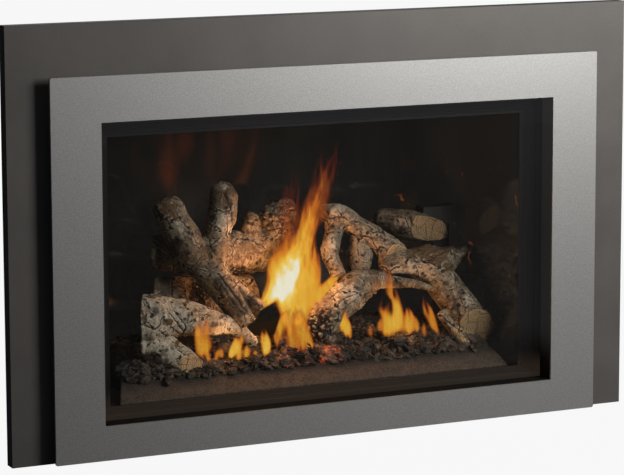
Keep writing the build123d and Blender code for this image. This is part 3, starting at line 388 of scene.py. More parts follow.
class Birch(Finish):
    """Painted ceramic birch, coloured by noises and by what each log stores on its points."""

    def __init__(self):
        super().__init__("birch_ceramic")
        for name in BARK_VALUES:
            setattr(self, name, self.attribute(name))
        self.cloud = self.grain(24.0, 4.0, 0.6)
        self.patch = self.grain(95.0, 3.0, 0.6)
        self.blot = self.grain(150.0, 3.0, 0.65, None, 0.6)
        self.fine = self.grain(300.0, 4.0, 0.65)
        self.fray = self.fine - 0.5
        self.fibre = self.grain(1.0, 4.0, 0.6, self.vector(self.along * 0.05, self.around * 0.45))
        self.hoop = self.grain(1.0, 3.0, 0.6, self.vector(self.along * 0.42, self.around * 0.07))

    def bark(self):
        """Mottled bark that turns chalky where a log is light."""
        mottle = (self.cloud * 0.55 + self.patch * 0.35 + self.hoop * 0.25).ramp(0.42, 0.72)
        bark = self.mix(mottle, (0.52, 0.44, 0.325), (0.20, 0.14, 0.088))
        bark = self.mix(self.blot.ramp(0.51, 0.57) * 0.75, bark, (0.125, 0.075, 0.042))
        bark = self.mix(self.fine.ramp(0.48, 0.70) * 0.65, bark, (0.10, 0.072, 0.050))
        chalk = self.mix(self.hoop.ramp(0.35, 0.7), (0.82, 0.775, 0.68), (0.46, 0.385, 0.285))
        specks = (self.blot * 0.5 + self.fine * 0.5).ramp(0.50, 0.62)
        chalk = self.mix(specks * 0.6, chalk, (0.17, 0.13, 0.09))
        bark = self.mix((self.light + (self.patch - 0.5) * 0.5).ramp(0.25, 0.85), bark, chalk)
        crisp = self.grain(560.0, 3.0, 0.75)
        return self.mix(crisp.ramp(0.54, 0.66) * 0.45, bark, (0.11, 0.068, 0.038))

    def torn(self, bark):
        """Bark with pale lips along dark tears, and the tears."""
        sway = self.node("ShaderNodeTexNoise", {}, {"Vector": self.place(), "Scale": 34.0, "Detail": 3.0})
        swayed = self.node("ShaderNodeVectorMath", {"operation": "MULTIPLY_ADD"}, {
            0: sway["Color"], 1: (0.035, 0.035, 0.035), 2: self.place()})[0]
        seam = self.cells(19.0, "DISTANCE_TO_EDGE", swayed)
        torn = self.patch.ramp(0.47, 0.55)
        tear = (1.0 - (seam + self.fray * 0.02).ramp(0.012, 0.034)) * torn
        bark = self.mix((1.0 - seam.ramp(0.05, 0.12)) * torn * 0.6, bark, (0.80, 0.74, 0.62))
        return self.mix(tear, bark, (0.030, 0.019, 0.012)), tear

    def pores(self, scale, frayed, low, high, channel, share):
        """Dark marks that run round the log, with a share of their cells left empty."""
        hoops = self.vector(self.along * 0.150, self.around * 0.042)
        cell = self.node("ShaderNodeTexVoronoi", {"voronoi_dimensions": "2D"}, {
            "Vector": hoops, "Scale": scale})
        kept = self.node("ShaderNodeSeparateColor", {}, {0: cell["Color"]})[channel].above(share)
        return (1.0 - (cell["Distance"] + self.fray * frayed).ramp(low, high)) * kept

    def heart(self):
        """Ringed cut end with drying cracks, and the cracks."""
        way = self.rings * 0.24 + (self.cloud - 0.5) * 1.4 + self.fray * 0.25
        ring = self.node("ShaderNodeMath", {"operation": "SINE"}, {0: way * 6.0})[0].ramp(-0.6, 0.9)
        heart = self.mix(ring, (0.58, 0.40, 0.22), (0.80, 0.60, 0.36))
        heart = self.mix(self.fine.ramp(0.52, 0.74) * 0.8, heart, (0.14, 0.08, 0.04))
        near = self.cells(42.0, "DISTANCE_TO_EDGE", self.stretched((1.0, 1.0, 0.8)))
        cracks = 1.0 - near.ramp(0.010, 0.045)
        return self.mix(cracks * self.patch.ramp(0.35, 0.6) * 0.55, heart, (0.05, 0.03, 0.018)), cracks

    def burnt(self):
        """Char, ashen on its crests."""
        burnt = self.mix(self.fine.ramp(0.35, 0.7), (0.014, 0.010, 0.008), (0.075, 0.052, 0.037))
        return self.mix((self.crest + self.fray * 0.5).ramp(0.3, 0.8), burnt, (0.36, 0.31, 0.24))

    def finished(self):
        """Bark, peeled wood, cut ends, soot and cracks laid over each other."""
        cut = self.cut.ramp(0.4, 0.6)
        rim = self.cut.ramp(0.08, 0.35) * (1.0 - self.cut.ramp(0.75, 0.98))
        bark, tear = self.torn(self.bark())
        dash = self.pores(1.0, 0.16, 0.11, 0.18, 0, 0.42).most(self.pores(2.3, 0.2, 0.10, 0.2, 1, 0.5) * 0.8)
        wood = self.mix(self.fibre.ramp(0.3, 0.7), (0.085, 0.048, 0.025), (0.33, 0.21, 0.105))
        wood = self.mix(self.fine.ramp(0.5, 0.8) * 0.7, wood, (0.03, 0.02, 0.013))
        ragged = self.peel + self.fray * 0.35
        peeled = ragged.ramp(0.40, 0.50)
        lip = ragged.ramp(0.36, 0.43) * (1.0 - ragged.ramp(0.46, 0.56))
        colour = self.mix(peeled, bark, wood)
        colour = self.mix(dash * (1.0 - peeled) * 0.9, colour, (0.026, 0.018, 0.012))
        # painted shadow: a dark line along the lip of the peeling bark
        colour = self.mix(lip * 0.75, colour, (0.028, 0.018, 0.011))
        colour = self.mix((self.stain + (self.patch - 0.5) * 0.4) * 0.8, colour, (0.035, 0.024, 0.017))
        heart, cracks = self.heart()
        colour = self.mix(cut, colour, heart)
        colour = self.mix(rim * 0.85, colour, (0.045, 0.026, 0.015))
        soot = (self.char + (self.patch - 0.5) * 0.5 + self.fray * 0.35).ramp(0.30, 0.62)
        colour = self.mix(soot * (1.0 - cut * 0.7), colour, self.burnt())
        crack = (self.groove + self.fray * 0.7).ramp(0.35, 0.75)
        colour = self.mix(crack * 0.9, colour, (0.020, 0.013, 0.009))
        dim = self.node("ShaderNodeCombineColor", {}, {
            0: self.tone, 1: self.tone * 0.965, 2: self.tone * 0.89})
        colour = self.node("ShaderNodeMix", {"data_type": "RGBA", "blend_type": "MULTIPLY"},
                           {0: 1.0, 6: colour, 7: dim[0]})[2]
        height = self.fine * 0.6 + self.fibre * 0.5 * peeled - dash * 0.7 - cracks * cut * 0.35
        height = height - tear * (1.0 - cut) * 0.8 + self.hoop * 0.35 + self.patch * 0.5
        return self.surface(Base_Color=colour, Roughness=self.fine * 0.2 + 0.62,
                            Normal=self.bump(height, 2.6))


def ember():
    """Char flakes: sooty brown, grey ash edges, some still glowing."""
    f = Finish("ember_char")
    ash = f.attribute("ash")
    heat = f.attribute("hotness")
    fine = f.grain(330.0, 4.0, 0.65)
    cloud = f.grain(70.0, 3.0, 0.6)
    edge = f.attribute("edge")
    colour = f.mix((fine * 0.6 + ash * 0.5).ramp(0.34, 0.80), (0.013, 0.0098, 0.0075), (0.105, 0.080, 0.058))
    colour = f.mix((edge + (fine - 0.5) * 1.2).ramp(0.60, 1.0) * 0.8, colour, (0.27, 0.225, 0.17))
    colour = f.mix(fine.ramp(0.66, 0.78) * ash, colour, (0.34, 0.30, 0.25))
    across, depth, _ = f.apart()
    # painted shade: the char darkens to near black towards the bed's left end
    colour = f.mix(across.ramp(-0.40, -0.26), (0.012, 0.010, 0.008), colour)
    dust = f.mix((cloud * 0.3 + fine * 0.7).ramp(0.38, 0.62), (0.036, 0.025, 0.018), (0.140, 0.100, 0.070))
    colour = f.mix(depth.ramp(-0.134, -0.104, 0.85, 0.0), colour, dust)
    vein = 1.0 - f.cells(150.0, "DISTANCE_TO_EDGE").ramp(0.02, 0.12)
    glow = (vein * 0.5 + cloud.ramp(0.45, 0.70)) * heat
    hot = f.mix(glow.ramp(0.15, 0.9), BLACK, (0.62, 0.105, 0.036))
    return f.surface(Base_Color=colour, Roughness=fine * 0.2 + 0.6, Normal=f.bump(fine, 0.8),
                     Emission_Color=hot, Emission_Strength=1.0)


GAS_VALUES = ("hotness", "up", "gas")


def flame_body():
    """Burning gas: clear at every outline, bright where it is deep, red where it thins out."""
    f = Finish("flame_gas")
    heat, up, gas = (f.attribute(name) for name in GAS_VALUES)
    square_on = 1.0 - f.node("ShaderNodeLayerWeight", {}, {"Blend": 0.5})["Facing"]
    wisp = f.grain(80.0, 3.0, 0.55, f.stretched((1.0, 1.0, 0.11)), 0.4)
    level = heat * (gas * 0.85 + 0.12) - up.ramp(0.35, 1.0) * 0.22 + (wisp - 0.5) * 0.75
    alpha = (gas + (wisp - 0.5) * 0.40).ramp(0.10, 0.85) * (heat * 0.85 + 0.10).least(0.95)
    colour = (0.17, 0.020, 0.008)
    for low, high, hotter in ((0.05, 0.30, (0.48, 0.095, 0.016)), (0.26, 0.50, (0.86, 0.28, 0.022)),
                              (0.48, 0.74, (0.95, 0.50, 0.045)), (0.72, 1.0, (1.0, 0.70, 0.13)),
                              (0.96, 1.20, (1.0, 0.95, 0.74))):
        colour = f.mix(level.ramp(low, high), colour, hotter)
    return f.surface(Base_Color=BLACK, Roughness=1.0, Specular_IOR_Level=0.0,
                     Alpha=alpha * square_on.ramp(0.3, 0.65), Emission_Color=colour, Emission_Strength=1.0)


FINISHES = {
    "charcoal_paint": charcoal_paint(),
    "silver_paint": silver_paint(),
    "gloss_black": frame_black("frame_enamel", (0.006, 0.006, 0.006), 0.28,
                               (0.015, 0.015, 0.0165), SILL_DUST_GLOW),
    "screen_wire": screen_black(),
    "ceramic_glass": clear_glass(),
    "gasket_rope": rope_fibre(),
    "plated_steel": plated_steel(),
    "black_steel": stove_black(),
    "black_enamel": mirror_enamel("mirror_enamel", 0.0, 0.0),
    "brass": brass(),
    "cast_aluminium": cast_metal(),
    "black_plastic": moulded("black_plastic", (0.014, 0.014, 0.014), (0.03, 0.03, 0.03)),
    "grey_plastic": moulded("grey_plastic", (0.09, 0.09, 0.095), (0.13, 0.13, 0.135)),
    "char": ember(),
    "birch_ceramic": Birch().finished(),
}
NODE_FINISHES = {
    "firebox_floor": brown_apron(),
    "liner_back": mirror_enamel("back_enamel", 1.0, 0.4),
    "liner_right": mirror_enamel("side_enamel", 0.0, 0.9),
    "face_carrier": frame_black("carrier_black", (0.009, 0.0085, 0.008), 0.62,
                                (0.021, 0.0215, 0.0205), BLACK),
    "barrier_frame": frame_black("barrier_black", (0.007, 0.0068, 0.0066), 0.36,
                                 (0.014, 0.014, 0.0155), SILL_DUST_GLOW),
}
for part in frame["record"]["subparts"]:
    thing = frame["nodes"][part["node"]]
    finish = NODE_FINISHES.get(part["node"]) or FINISHES[part["material_slot"]]
    if thing.material_slots:
        for slot in thing.material_slots:
            slot.material = finish
    else:
        thing.data.materials.append(finish)


# ------------------------------------------------------------------ mesh helpers
def linked(name, data):
    """New object in the scene, at the origin."""
    thing = bpy.data.objects.new(name, data)
    bpy.context.collection.objects.link(thing)
    return thing


def mesh_of(name, verts, faces):
    """New mesh from points in metres."""
    mesh = bpy.data.meshes.new(name)
    mesh.from_pydata([tuple(v) for v in verts], [], faces)
    mesh.update()
    return mesh


def shade(mesh, smooth):
    mesh.polygons.foreach_set("use_smooth", [smooth] * len(mesh.polygons))


def piece(name, verts, faces, finish, smooth=True):
    """New object from points in metres."""
    mesh = mesh_of(name, verts, faces)
    mesh.materials.append(finish)
    shade(mesh, smooth)
    return linked(name, mesh)


def grid_faces(columns, rows, base=0):
    """Quads of a grid whose points run row by row, columns + 1 in each."""
    wide = columns + 1
    corners = [base + j * wide + i for j in range(rows) for i in range(columns)]
    return [(a, a + 1, a + wide + 1, a + wide) for a in corners]


def set_values(mesh, name, values):
    layer = mesh.attributes.new(name, "FLOAT", "POINT")
    layer.data.foreach_set("value", np.asarray(values, dtype=np.float32))


def settle(thing):
    """Turn an object's modifiers into a plain mesh."""
    bpy.context.view_layer.update()
    graph = bpy.context.evaluated_depsgraph_get()
    plain = bpy.data.meshes.new_from_object(thing.evaluated_get(graph))
    thing.modifiers.clear()
    bare, thing.data = thing.data, plain
    if bare.users == 0:
        bpy.data.meshes.remove(bare)
    return thing.data


def vertex_values(mesh, name):
    """Rows of a vector that every vertex has, such as co or normal."""
    flat = np.empty(len(mesh.vertices) * 3, dtype=np.float64)
    mesh.vertices.foreach_get(name, flat)
    return flat.reshape(-1, 3)


def in_mm(points):
    """Points in metres turned to mm from the surround's front plane."""
    return points / MM + np.array((0.0, SETBACK, 0.0))


def clipped(values):
    return np.clip(values, 0, 1)


def walls(point):
    """How far inside its noise cell a point lies: 0 on the cell's walls."""
    near = noise.voronoi(point)[0]
    return near[1] - near[0]


def curve_through(stations, step):
    """Catmull-Rom samples of (x, y, z, radius) in mm, about one step apart."""
    pts = [np.array(s, dtype=float) for s in stations]
    pts = [2 * pts[0] - pts[1]] + pts + [2 * pts[-1] - pts[-2]]
    out = []
    for i in range(1, len(pts) - 2):
        p0, p1, p2, p3 = pts[i - 1:i + 3]
        n = max(2, int(np.linalg.norm(p2[:3] - p1[:3]) / step))
        for k in range(n):
            t = k / n
            out.append(0.5 * (2 * p1 + (p2 - p0) * t + (2 * p0 - 5 * p1 + 4 * p2 - p3) * t ** 2
                              + (3 * p1 - p0 - 3 * p2 + p3) * t ** 3))
    out.append(pts[-2])
    return np.array(out)


LIMB_SIDES = 40
DOME_RINGS = (0.35, 0.62, 0.82, 0.95)


def limb_mesh(stations, seed, lumpy, round_start, round_end):
    """Closed tube round a crooked centre line, in mm."""
    sides = LIMB_SIDES
    line = curve_through(stations, 5.0)
    centres = line[:, :3]
    radii = np.maximum(line[:, 3], 1.5)
    tangents = np.gradient(centres, axis=0)
    tangents /= np.linalg.norm(tangents, axis=1)[:, None]
    front = np.array((0.0, -1.0, 0.0))
    x_dir = front - (tangents @ front)[:, None] * tangents
    x_dir /= np.linalg.norm(x_dir, axis=1)[:, None]
    y_dir = np.cross(tangents, x_dir)
    rings = list(zip(centres, tangents, x_dir, y_dir, radii))
    for wanted, way in ((round_end, 1), (round_start, -1)):
        c, t, x, y, r = rings[-1 if way > 0 else 0]
        for k in DOME_RINGS if wanted else ():
            ring = (c + way * t * r * 0.55 * k, t, x, y, r * sqrt(1 - k * k))
            rings.insert(len(rings) if way > 0 else 0, ring)
    verts = []
    for c, t, x, y, r in rings:
        for k in range(sides):
            a = 2 * pi * k / sides
            side_dir = x * cos(a) + y * sin(a)
            point = c + side_dir * r
            swell = noise.noise(Vector(point * 0.021 + seed)) * 0.22
            swell += noise.noise(Vector(point * 0.055 + seed)) * 0.10
            verts.append(c + side_dir * r * (1 + lumpy * swell))
    faces = []
    n = len(rings)
    for i in range(n - 1):
        for k in range(sides):
            a = i * sides + k
            b = i * sides + (k + 1) % sides
            faces.append((a, b, b + sides, a + sides))
    faces.append(tuple(range(sides))[::-1])
    faces.append(tuple(range((n - 1) * sides, n * sides)))
    return verts, faces, centres, radii, x_dir, y_dir, tangents


# ------------------------------------------------------------------ logs
# Each limb: stations of x, y, z, radius in mm, then its start and its end, which are rounded,
# cut square, or sawn on a plane given by a point and the way it faces.
SIDE = (-0.91, 0.42, 0.0)       # the way the sawn left ends face
LOGS = {
    "front_left": dict(light=0.62, peel=0.34, lumpy=1.0, tone=1.0, limbs=[
        ([(-330, 146, 196, 39), (-285, 146, 194, 42), (-240, 146, 193, 37), (-191, 146, 186, 31),
          (-153, 150, 178, 22), (-105, 156, 160, 15), (-72, 160, 134, 11)],
         ((-282, 146, 190), SIDE), "round"),
        ([(-330, 146, 160, 32), (-279, 142, 157, 33), (-243, 124, 137, 28), (-215, 106, 119, 21),
          (-195, 94, 106, 20)], ((-282, 146, 190), SIDE), ((-221, 98, 118), (0.24, -0.94, -0.23))),
    ]),
    "front_fork": dict(light=0.16, peel=0.26, lumpy=0.9, tone=0.80, limbs=[
        ([(-204, 227, 373, 24), (-192, 215, 337, 30), (-169, 205, 299, 31), (-141, 192, 262, 28),
          (-119, 170, 224, 24), (-88, 152, 167, 19)], "round", "square"),
        ([(-95, 236, 393, 20), (-96, 230, 378, 24), (-102, 222, 351, 26), (-120, 207, 313, 24),
          (-141, 194, 269, 26)], "round", "round"),
        ([(-130, 184, 252, 14), (-96, 166, 227, 13), (-64, 150, 196, 10)], "round", "round"),
    ]),
    "rear_left": dict(light=0.05, peel=0.20, lumpy=1.0, tone=0.78, limbs=[
        ([(-250, 262, 287, 28), (-217, 262, 285, 30), (-130, 260, 272, 34), (-28, 270, 273, 39),
          (50, 270, 268, 37), (92, 262, 262, 24)], ((-221, 250, 285), SIDE), "square"),
        ([(-32, 268, 290, 22), (-30, 266, 316, 17), (-26, 264, 338, 10)], "round", "round"),
        ([(6, 272, 286, 34), (22, 270, 318, 34), (34, 268, 338, 25), (44, 266, 356, 14)], "round", "round"),
    ]),
    "rear_lower": dict(light=0.0, peel=0.2, lumpy=0.9, tone=0.7, limbs=[
        ([(-250, 252, 209, 37), (-214, 252, 206, 38), (-130, 256, 195, 41), (-34, 258, 190, 46)],
         ((-217, 250, 205), SIDE), "square"),
    ]),
    "arch": dict(light=0.30, peel=0.26, lumpy=0.8, tone=0.85, limbs=[
        ([(100, 246, 338, 14), (116, 243, 334, 18), (140, 236, 325, 19), (161, 226, 308, 19),
          (184, 212, 291, 21), (208, 196, 271, 22), (223, 186, 255, 19), (241, 174, 239, 18)],
         "round", ((221, 185, 258), (0.18, -0.93, -0.31))),
        ([(122, 240, 322, 17), (114, 230, 301, 16), (102, 213, 280, 16), (97, 200, 260, 15),
          (102, 178, 232, 13)], "round", "square"),
        ([(161, 226, 298, 13), (165, 220, 278, 20), (159, 212, 256, 24), (148, 200, 235, 22)],
         "round", "round"),
    ]),
    "rear_right": dict(light=0.0, peel=0.30, lumpy=0.8, tone=0.55, limbs=[
        ([(213, 248, 318, 17), (236, 232, 311, 25), (264, 214, 307, 25), (288, 196, 302, 22),
          (326, 172, 288, 20)], "round", ((286, 195, 304), (0.0, -1.0, -0.02))),
    ]),
    "split_right": dict(light=0.35, peel=0.38, lumpy=0.9, tone=0.85, limbs=[
        ([(191, 183, 247, 16), (243, 185, 246, 27), (288, 186, 241, 34), (324, 186, 250, 22),
          (356, 184, 264, 6)], "round", "round"),
    ]),
    "front_centre": dict(light=0.25, peel=0.24, lumpy=1.0, tone=0.85, limbs=[
        ([(46, 147, 143, 31), (63, 151, 169, 32), (88, 157, 188, 29), (113, 164, 204, 30),
          (141, 171, 216, 29), (167, 177, 221, 24), (187, 181, 223, 16)], "round", "round"),
        ([(176, 176, 218, 12), (233, 165, 213, 8), (278, 160, 199, 5)], "round", "round"),
    ]),
    "front_right": dict(light=0.15, peel=0.22, lumpy=0.6, tone=0.85, limbs=[
        ([(276, 204, 243, 20), (286, 190, 230, 27), (312, 155, 183, 31), (340, 118, 133, 31),
          (366, 80, 84, 31)], "round", ((341, 116, 133), (-0.02, -0.93, -0.37))),
        ([(283, 142, 158, 11), (300, 126, 132, 10), (317, 112, 108, 8)], "round", "round"),
    ]),
}
# Marks of each kind as seen from the usual viewing side: across, up, half sizes (mm), turn (degrees).
MARKS = {
    "front_fork": {
        "tan": [(-235, 378, 17, 20, 20), (-125, 385, 7, 14, 30), (-134, 401, 10, 4, 0),
                (-161, 301, 10, 12, 0)],
        "stain": [(-152, 357, 7, 6, 0), (-126, 367, 3, 3, 0), (-104, 202, 22, 22, 0),
                  (-134, 241, 15, 15, 0), (-76, 210, 20, 14, 45), (-225, 308, 5, 14, 30)],
        "pale": [(-221, 337, 15, 15, 0), (-133, 349, 14, 17, 0), (-138, 410, 12, 8, 0)],
    },
    "front_left": {
        "tan": [(-273, 195, 5, 7, 0), (-231, 185, 10, 7, 0), (-238, 163, 8, 8, 0), (-256, 134, 9, 8, 0),
                (-242, 112, 10, 5, 25), (-214, 149, 14, 5, 55), (-255, 231, 24, 3, 4),
                (-193, 219, 15, 3, 14)],
        "stain": [(-252, 208, 5, 8, 0), (-257, 134, 6, 5, 0), (-181, 202, 4, 4, 0), (-193, 194, 2, 3, 0),
                  (-156, 191, 4, 3, 0), (-134, 186, 8, 3, 30), (-146, 173, 8, 5, 0), (-233, 139, 3, 3, 0),
                  (-190, 155, 8, 14, 0)],
        "pale": [(-258, 194, 10, 8, 0), (-252, 154, 29, 20, 25), (-225, 126, 22, 14, 38),
                 (-278, 168, 7, 14, 0)],
        "char": [(-134, 142, 19, 15, 0)],
    },
    "rear_left": {
        "char": [(-104, 256, 17, 8, 0)],
        "rough": [(-28, 354, 34, 24, 0), (-79, 346, 12, 14, 0)],
        "stain": [(-254, 298, 7, 20, 0)],
    },
    "rear_lower": {
        "char": [(-178, 229, 17, 22, 0)],
        "stain": [(-242, 244, 14, 20, 0)],
    },
    "arch": {
        "tan": [(51, 351, 10, 14, 0)],
        "stain": [(170, 301, 4, 4, 0), (183, 296, 3, 3, 0), (99, 300, 10, 14, 0)],
        "pale": [(66, 286, 12, 17, 0), (89, 357, 15, 7, 25)],
    },
    "rear_right": {
        "stain": [(198, 351, 12, 6, 10), (161, 338, 5, 8, 0), (208, 308, 17, 10, 30)],
        "pale": [(202, 354, 7, 3, 10)],
    },
    "split_right": {
        "tan": [(255, 276, 29, 15, 12), (287, 263, 26, 14, 25), (303, 237, 12, 8, -35)],
        "stain": [(323, 272, 12, 6, 25), (235, 243, 4, 3, 0), (240, 235, 2, 2, 0), (267, 239, 3, 2, 0)],
        "pale": [(327, 259, 8, 3, 0), (239, 234, 37, 14, 0)],
    },
    "front_centre": {
        "char": [(47, 152, 29, 26, 0)],
        "rough": [(51, 156, 34, 29, 0), (145, 197, 19, 15, 0)],
        "pale": [(105, 208, 32, 14, -35)],
        "tan": [(89, 230, 29, 6, -36), (151, 248, 20, 7, -25)],
        "stain": [(198, 216, 17, 5, -10)],
    },
    "front_right": {
        "stain": [(297, 210, 7, 5, 0), (329, 190, 5, 3, 0), (315, 169, 5, 15, 20)],
        "pale": [(337, 176, 14, 12, 45)],
        "tan": [(374, 162, 20, 4, 48)],
    },
}
# Cracks in the bark, seen the same way: width (mm), then across and up of each bend.
GROOVES = {
    "front_fork": [
        (1.4, [(-148, 396), (-143, 404), (-130, 398), (-117, 370), (-114, 346), (-119, 333), (-129, 314)]),
        (1.2, [(-180, 342), (-171, 333)]), (1.2, [(-175, 345), (-166, 336)]),
        (1.4, [(-178, 334), (-169, 324)]), (1.2, [(-170, 338), (-160, 330)]),
        (1.4, [(-184, 326), (-181, 318)]), (1.0, [(-197, 347), (-192, 336)]),
        (2.9, [(-143, 261), (-124, 240), (-104, 214), (-80, 181)]),
        (1.2, [(-139, 245), (-117, 212), (-100, 191)]),
        (0.8, [(-234, 349), (-226, 360), (-217, 363), (-206, 354), (-195, 340)]),
        (1.0, [(-229, 324), (-223, 308)])],
    "front_left": [
        (2.5, [(-282, 189), (-268, 182), (-253, 177), (-244, 183), (-242, 194)]),
        (1.7, [(-233, 207), (-219, 191), (-204, 169), (-193, 150)]),
        (1.4, [(-226, 212), (-210, 193), (-197, 173)]),
        (1.5, [(-242, 196), (-226, 179), (-208, 160), (-199, 149)]), (1.2, [(-250, 178), (-234, 161)]),
        (1.7, [(-277, 226), (-271, 216)]), (1.4, [(-278, 211), (-276, 197)]),
        (1.4, [(-217, 144), (-201, 130), (-190, 126)])],
    "rear_left": [
        (3.1, [(-263, 272), (-243, 267), (-223, 264), (-207, 265), (-189, 266)]),
        (1.7, [(-122, 263), (-100, 263), (-78, 259), (-50, 256)]),
        (1.0, [(-74, 307), (-59, 302), (-51, 292), (-59, 285), (-74, 292), (-75, 304)]),
        (1.0, [(-68, 300), (-59, 296)]), (1.5, [(-64, 338), (-47, 328), (-25, 330), (2, 323)])],
    "rear_lower": [
        (1.7, [(-230, 260), (-230, 226)])],
    "arch": [
        (1.4, [(70, 339), (84, 343), (99, 341), (113, 332)]),
        (1.4, [(145, 319), (155, 310), (175, 316)]), (1.2, [(55, 354), (66, 335), (70, 321)]),
        (0.8, [(132, 306), (151, 280), (167, 258)])],
    "rear_right": [
        (2.0, [(227, 338), (230, 324), (237, 313)]), (1.2, [(178, 342), (196, 335), (214, 341)])],
    "split_right": [
        (0.8, [(224, 261), (241, 277), (265, 288)]), (0.8, [(233, 256), (253, 273), (277, 283)]),
        (0.8, [(245, 254), (263, 267), (285, 279)]), (0.8, [(265, 257), (277, 271), (301, 276)]),
        (1.5, [(228, 257), (245, 251), (265, 254), (279, 261), (297, 268)]),
        (3.1, [(196, 222), (216, 216), (230, 212), (245, 205)]),
        (1.4, [(309, 263), (321, 257), (333, 251)])],
    "front_centre": [
        (1.4, [(55, 194), (85, 211), (112, 228)]), (1.5, [(72, 182), (101, 201), (132, 209)]),
        (1.4, [(93, 180), (120, 196)]), (1.2, [(112, 225), (120, 214), (136, 221)])],
    "front_right": [
        (1.4, [(319, 194), (325, 177), (333, 164), (345, 170), (362, 167)]),
        (1.4, [(321, 154), (320, 142), (322, 123), (325, 110)]),
        (2.4, [(280, 157), (299, 142), (321, 126)]), (1.5, [(346, 163), (364, 167), (386, 152)])],
}
VOXEL = 1.7                          # mm between the points of a log's skin
SEEN_SIDE, SEEN_RISE = 0.465, -0.165    # shift across and up per mm of depth, as seen
SEEN_WAY = (0.417, 0.897, -0.148)       # the usual way of looking
MARK_DEPTH = 150                        # depth in mm at which across and up are x and z


def nearest_limb(points, limbs):
    """For every point: distance along, distance round, and how near a fork, measured in shares of the radius.
    """
    best = np.full(len(points), 1e9)
    second = np.full(len(points), 1e9)
    owner = np.full(len(points), -1)
    along = np.zeros(len(points))
    around = np.zeros(len(points))
    for number, (centres, radii, x_dir, y_dir) in enumerate(limbs):
        step = np.linalg.norm(np.diff(centres, axis=0), axis=1)
        length = np.concatenate(([0.0], np.cumsum(step)))
        mine = np.full(len(points), 1e9)
        place = np.zeros(len(points))
        turn = np.zeros(len(points))
        for i in range(len(centres)):
            away = points - centres[i]
            reach = np.linalg.norm(away, axis=1) / radii[i]
            better = reach < mine
            mine[better] = reach[better]
            place[better] = length[i] + 400.0 * number
            angle = np.arctan2(away[better] @ y_dir[i], away[better] @ x_dir[i])
            turn[better] = angle * radii[i]
        better = mine < best
        second = np.where(better, best, np.minimum(second, mine))
        best = np.where(better, mine, best)
        along = np.where(better, place, along)
        around = np.where(better, turn, around)
    return along, around, second - best


def noise_at(points, scale, seed):
    return np.array([noise.noise(Vector(p * scale + seed)) for p in points])


def cells_at(points, scale):
    """Lumpy height: high inside each cell, low at its walls."""
    return np.array([min(walls(Vector(p * scale)), 0.6) for p in points])


def marked(marks, across, up, ragged, facing):
    """How strongly marks of one kind cover each point, with ragged edges."""
    value = np.zeros(len(across))
    for middle, level, half_wide, half_tall, turn in marks:
        c, d = cos(turn * pi / 180), sin(turn * pi / 180)
        u = ((across - middle) * c + (up - level) * d) / half_wide
        v = ((up - level) * c - (across - middle) * d) / half_tall
        value = np.maximum(value, clipped((1.35 + ragged - np.hypot(u, v)) / 0.7))
    return value * facing


def grooved(lines, across, up, facing):
    """Depth share of narrow cracks drawn as bent lines that taper at both ends."""
    value = np.zeros(len(across))
    for width, line in lines:
        line = np.array(line, dtype=float)
        total = np.concatenate(([0.0], np.cumsum(np.linalg.norm(np.diff(line, axis=0), axis=1))))
        for k in range(len(line) - 1):
            a, b = line[k], line[k + 1]
            span = b - a
            share = clipped(((across - a[0]) * span[0] + (up - a[1]) * span[1]) / (span @ span))
            gone = np.hypot(across - a[0] - share * span[0], up - a[1] - share * span[1])
            way = (total[k] + share * np.linalg.norm(span)) / total[-1]
            wide = width * (0.25 + 0.6 * np.sin(pi * np.clip(way, 0.04, 0.96)))
            value = np.maximum(value, np.exp(-(gone / wide) ** 2))
    return value * facing


def sawn(thing, end):
    """Cut a limb back to a plane and close it."""
    place, facing = end
    shape = bmesh.new()
    shape.from_mesh(thing)
    both = shape.verts[:] + shape.edges[:] + shape.faces[:]
    made = bmesh.ops.bisect_plane(shape, geom=both, plane_co=at(*place), plane_no=facing, clear_outer=True)
    edges = [g for g in made["geom_cut"] if isinstance(g, bmesh.types.BMEdge)]
    bmesh.ops.contextual_create(shape, geom=edges)
    shape.to_mesh(thing)
    shape.free()


def cut_ends(points, facing, cuts):
    """Which points lie on a cut end, and how far from its middle."""
    cut = np.zeros(len(points))
    rings = np.zeros(len(points))
    for centre, heading, radius in cuts:
        away = points - centre
        depth = away @ heading
        flat = np.linalg.norm(away - depth[:, None] * heading, axis=1)
        here = (depth > -3.0) & (flat < radius * 1.35) & (facing @ heading > 0.55)
        cut[here] = 1.0
        rings[here] = flat[here]
    return cut, rings


def log_body(name, look, seed):
    """Limbs of a log melted into one skin; also the limbs' lines and the cut ends."""
    limbs, cuts = [], []
    whole = bmesh.new()
    for number, (stations, start, end) in enumerate(look["limbs"]):
        verts, faces, centres, radii, x_dir, y_dir, tangents = limb_mesh(
            stations, seed + number, look["lumpy"], start == "round", end == "round")
        limb = mesh_of("limb", [at(*v) for v in verts], faces)
        limbs.append((centres, radii, x_dir, y_dir))
        for stop, centre, tangent, radius in ((start, centres[0], -tangents[0], radii[0]),
                                              (end, centres[-1], tangents[-1], radii[-1])):
            if stop == "square":
                cuts.append((centre, tangent, radius))
            elif stop != "round":
                sawn(limb, stop)
                close = np.argmin(np.linalg.norm(centres - np.array(stop[0]), axis=1))
                cuts.append((np.array(stop[0], dtype=float), np.array(stop[1]), radii[close] * 1.2))
        whole.from_mesh(limb)
        bpy.data.meshes.remove(limb)
    mesh = bpy.data.meshes.new("log_" + name + "_bark")
    whole.to_mesh(mesh)
    whole.free()
    mesh.materials.append(FINISHES["birch_ceramic"])
    thing = linked(mesh.name, mesh)
    skin = thing.modifiers.new("skin", "REMESH")
    skin.mode = "VOXEL"
    skin.voxel_size = VOXEL * MM
    ease = thing.modifiers.new("ease", "SMOOTH")
    ease.factor = 0.5
    ease.iterations = 2
    settle(thing)
    return thing, limbs, cuts


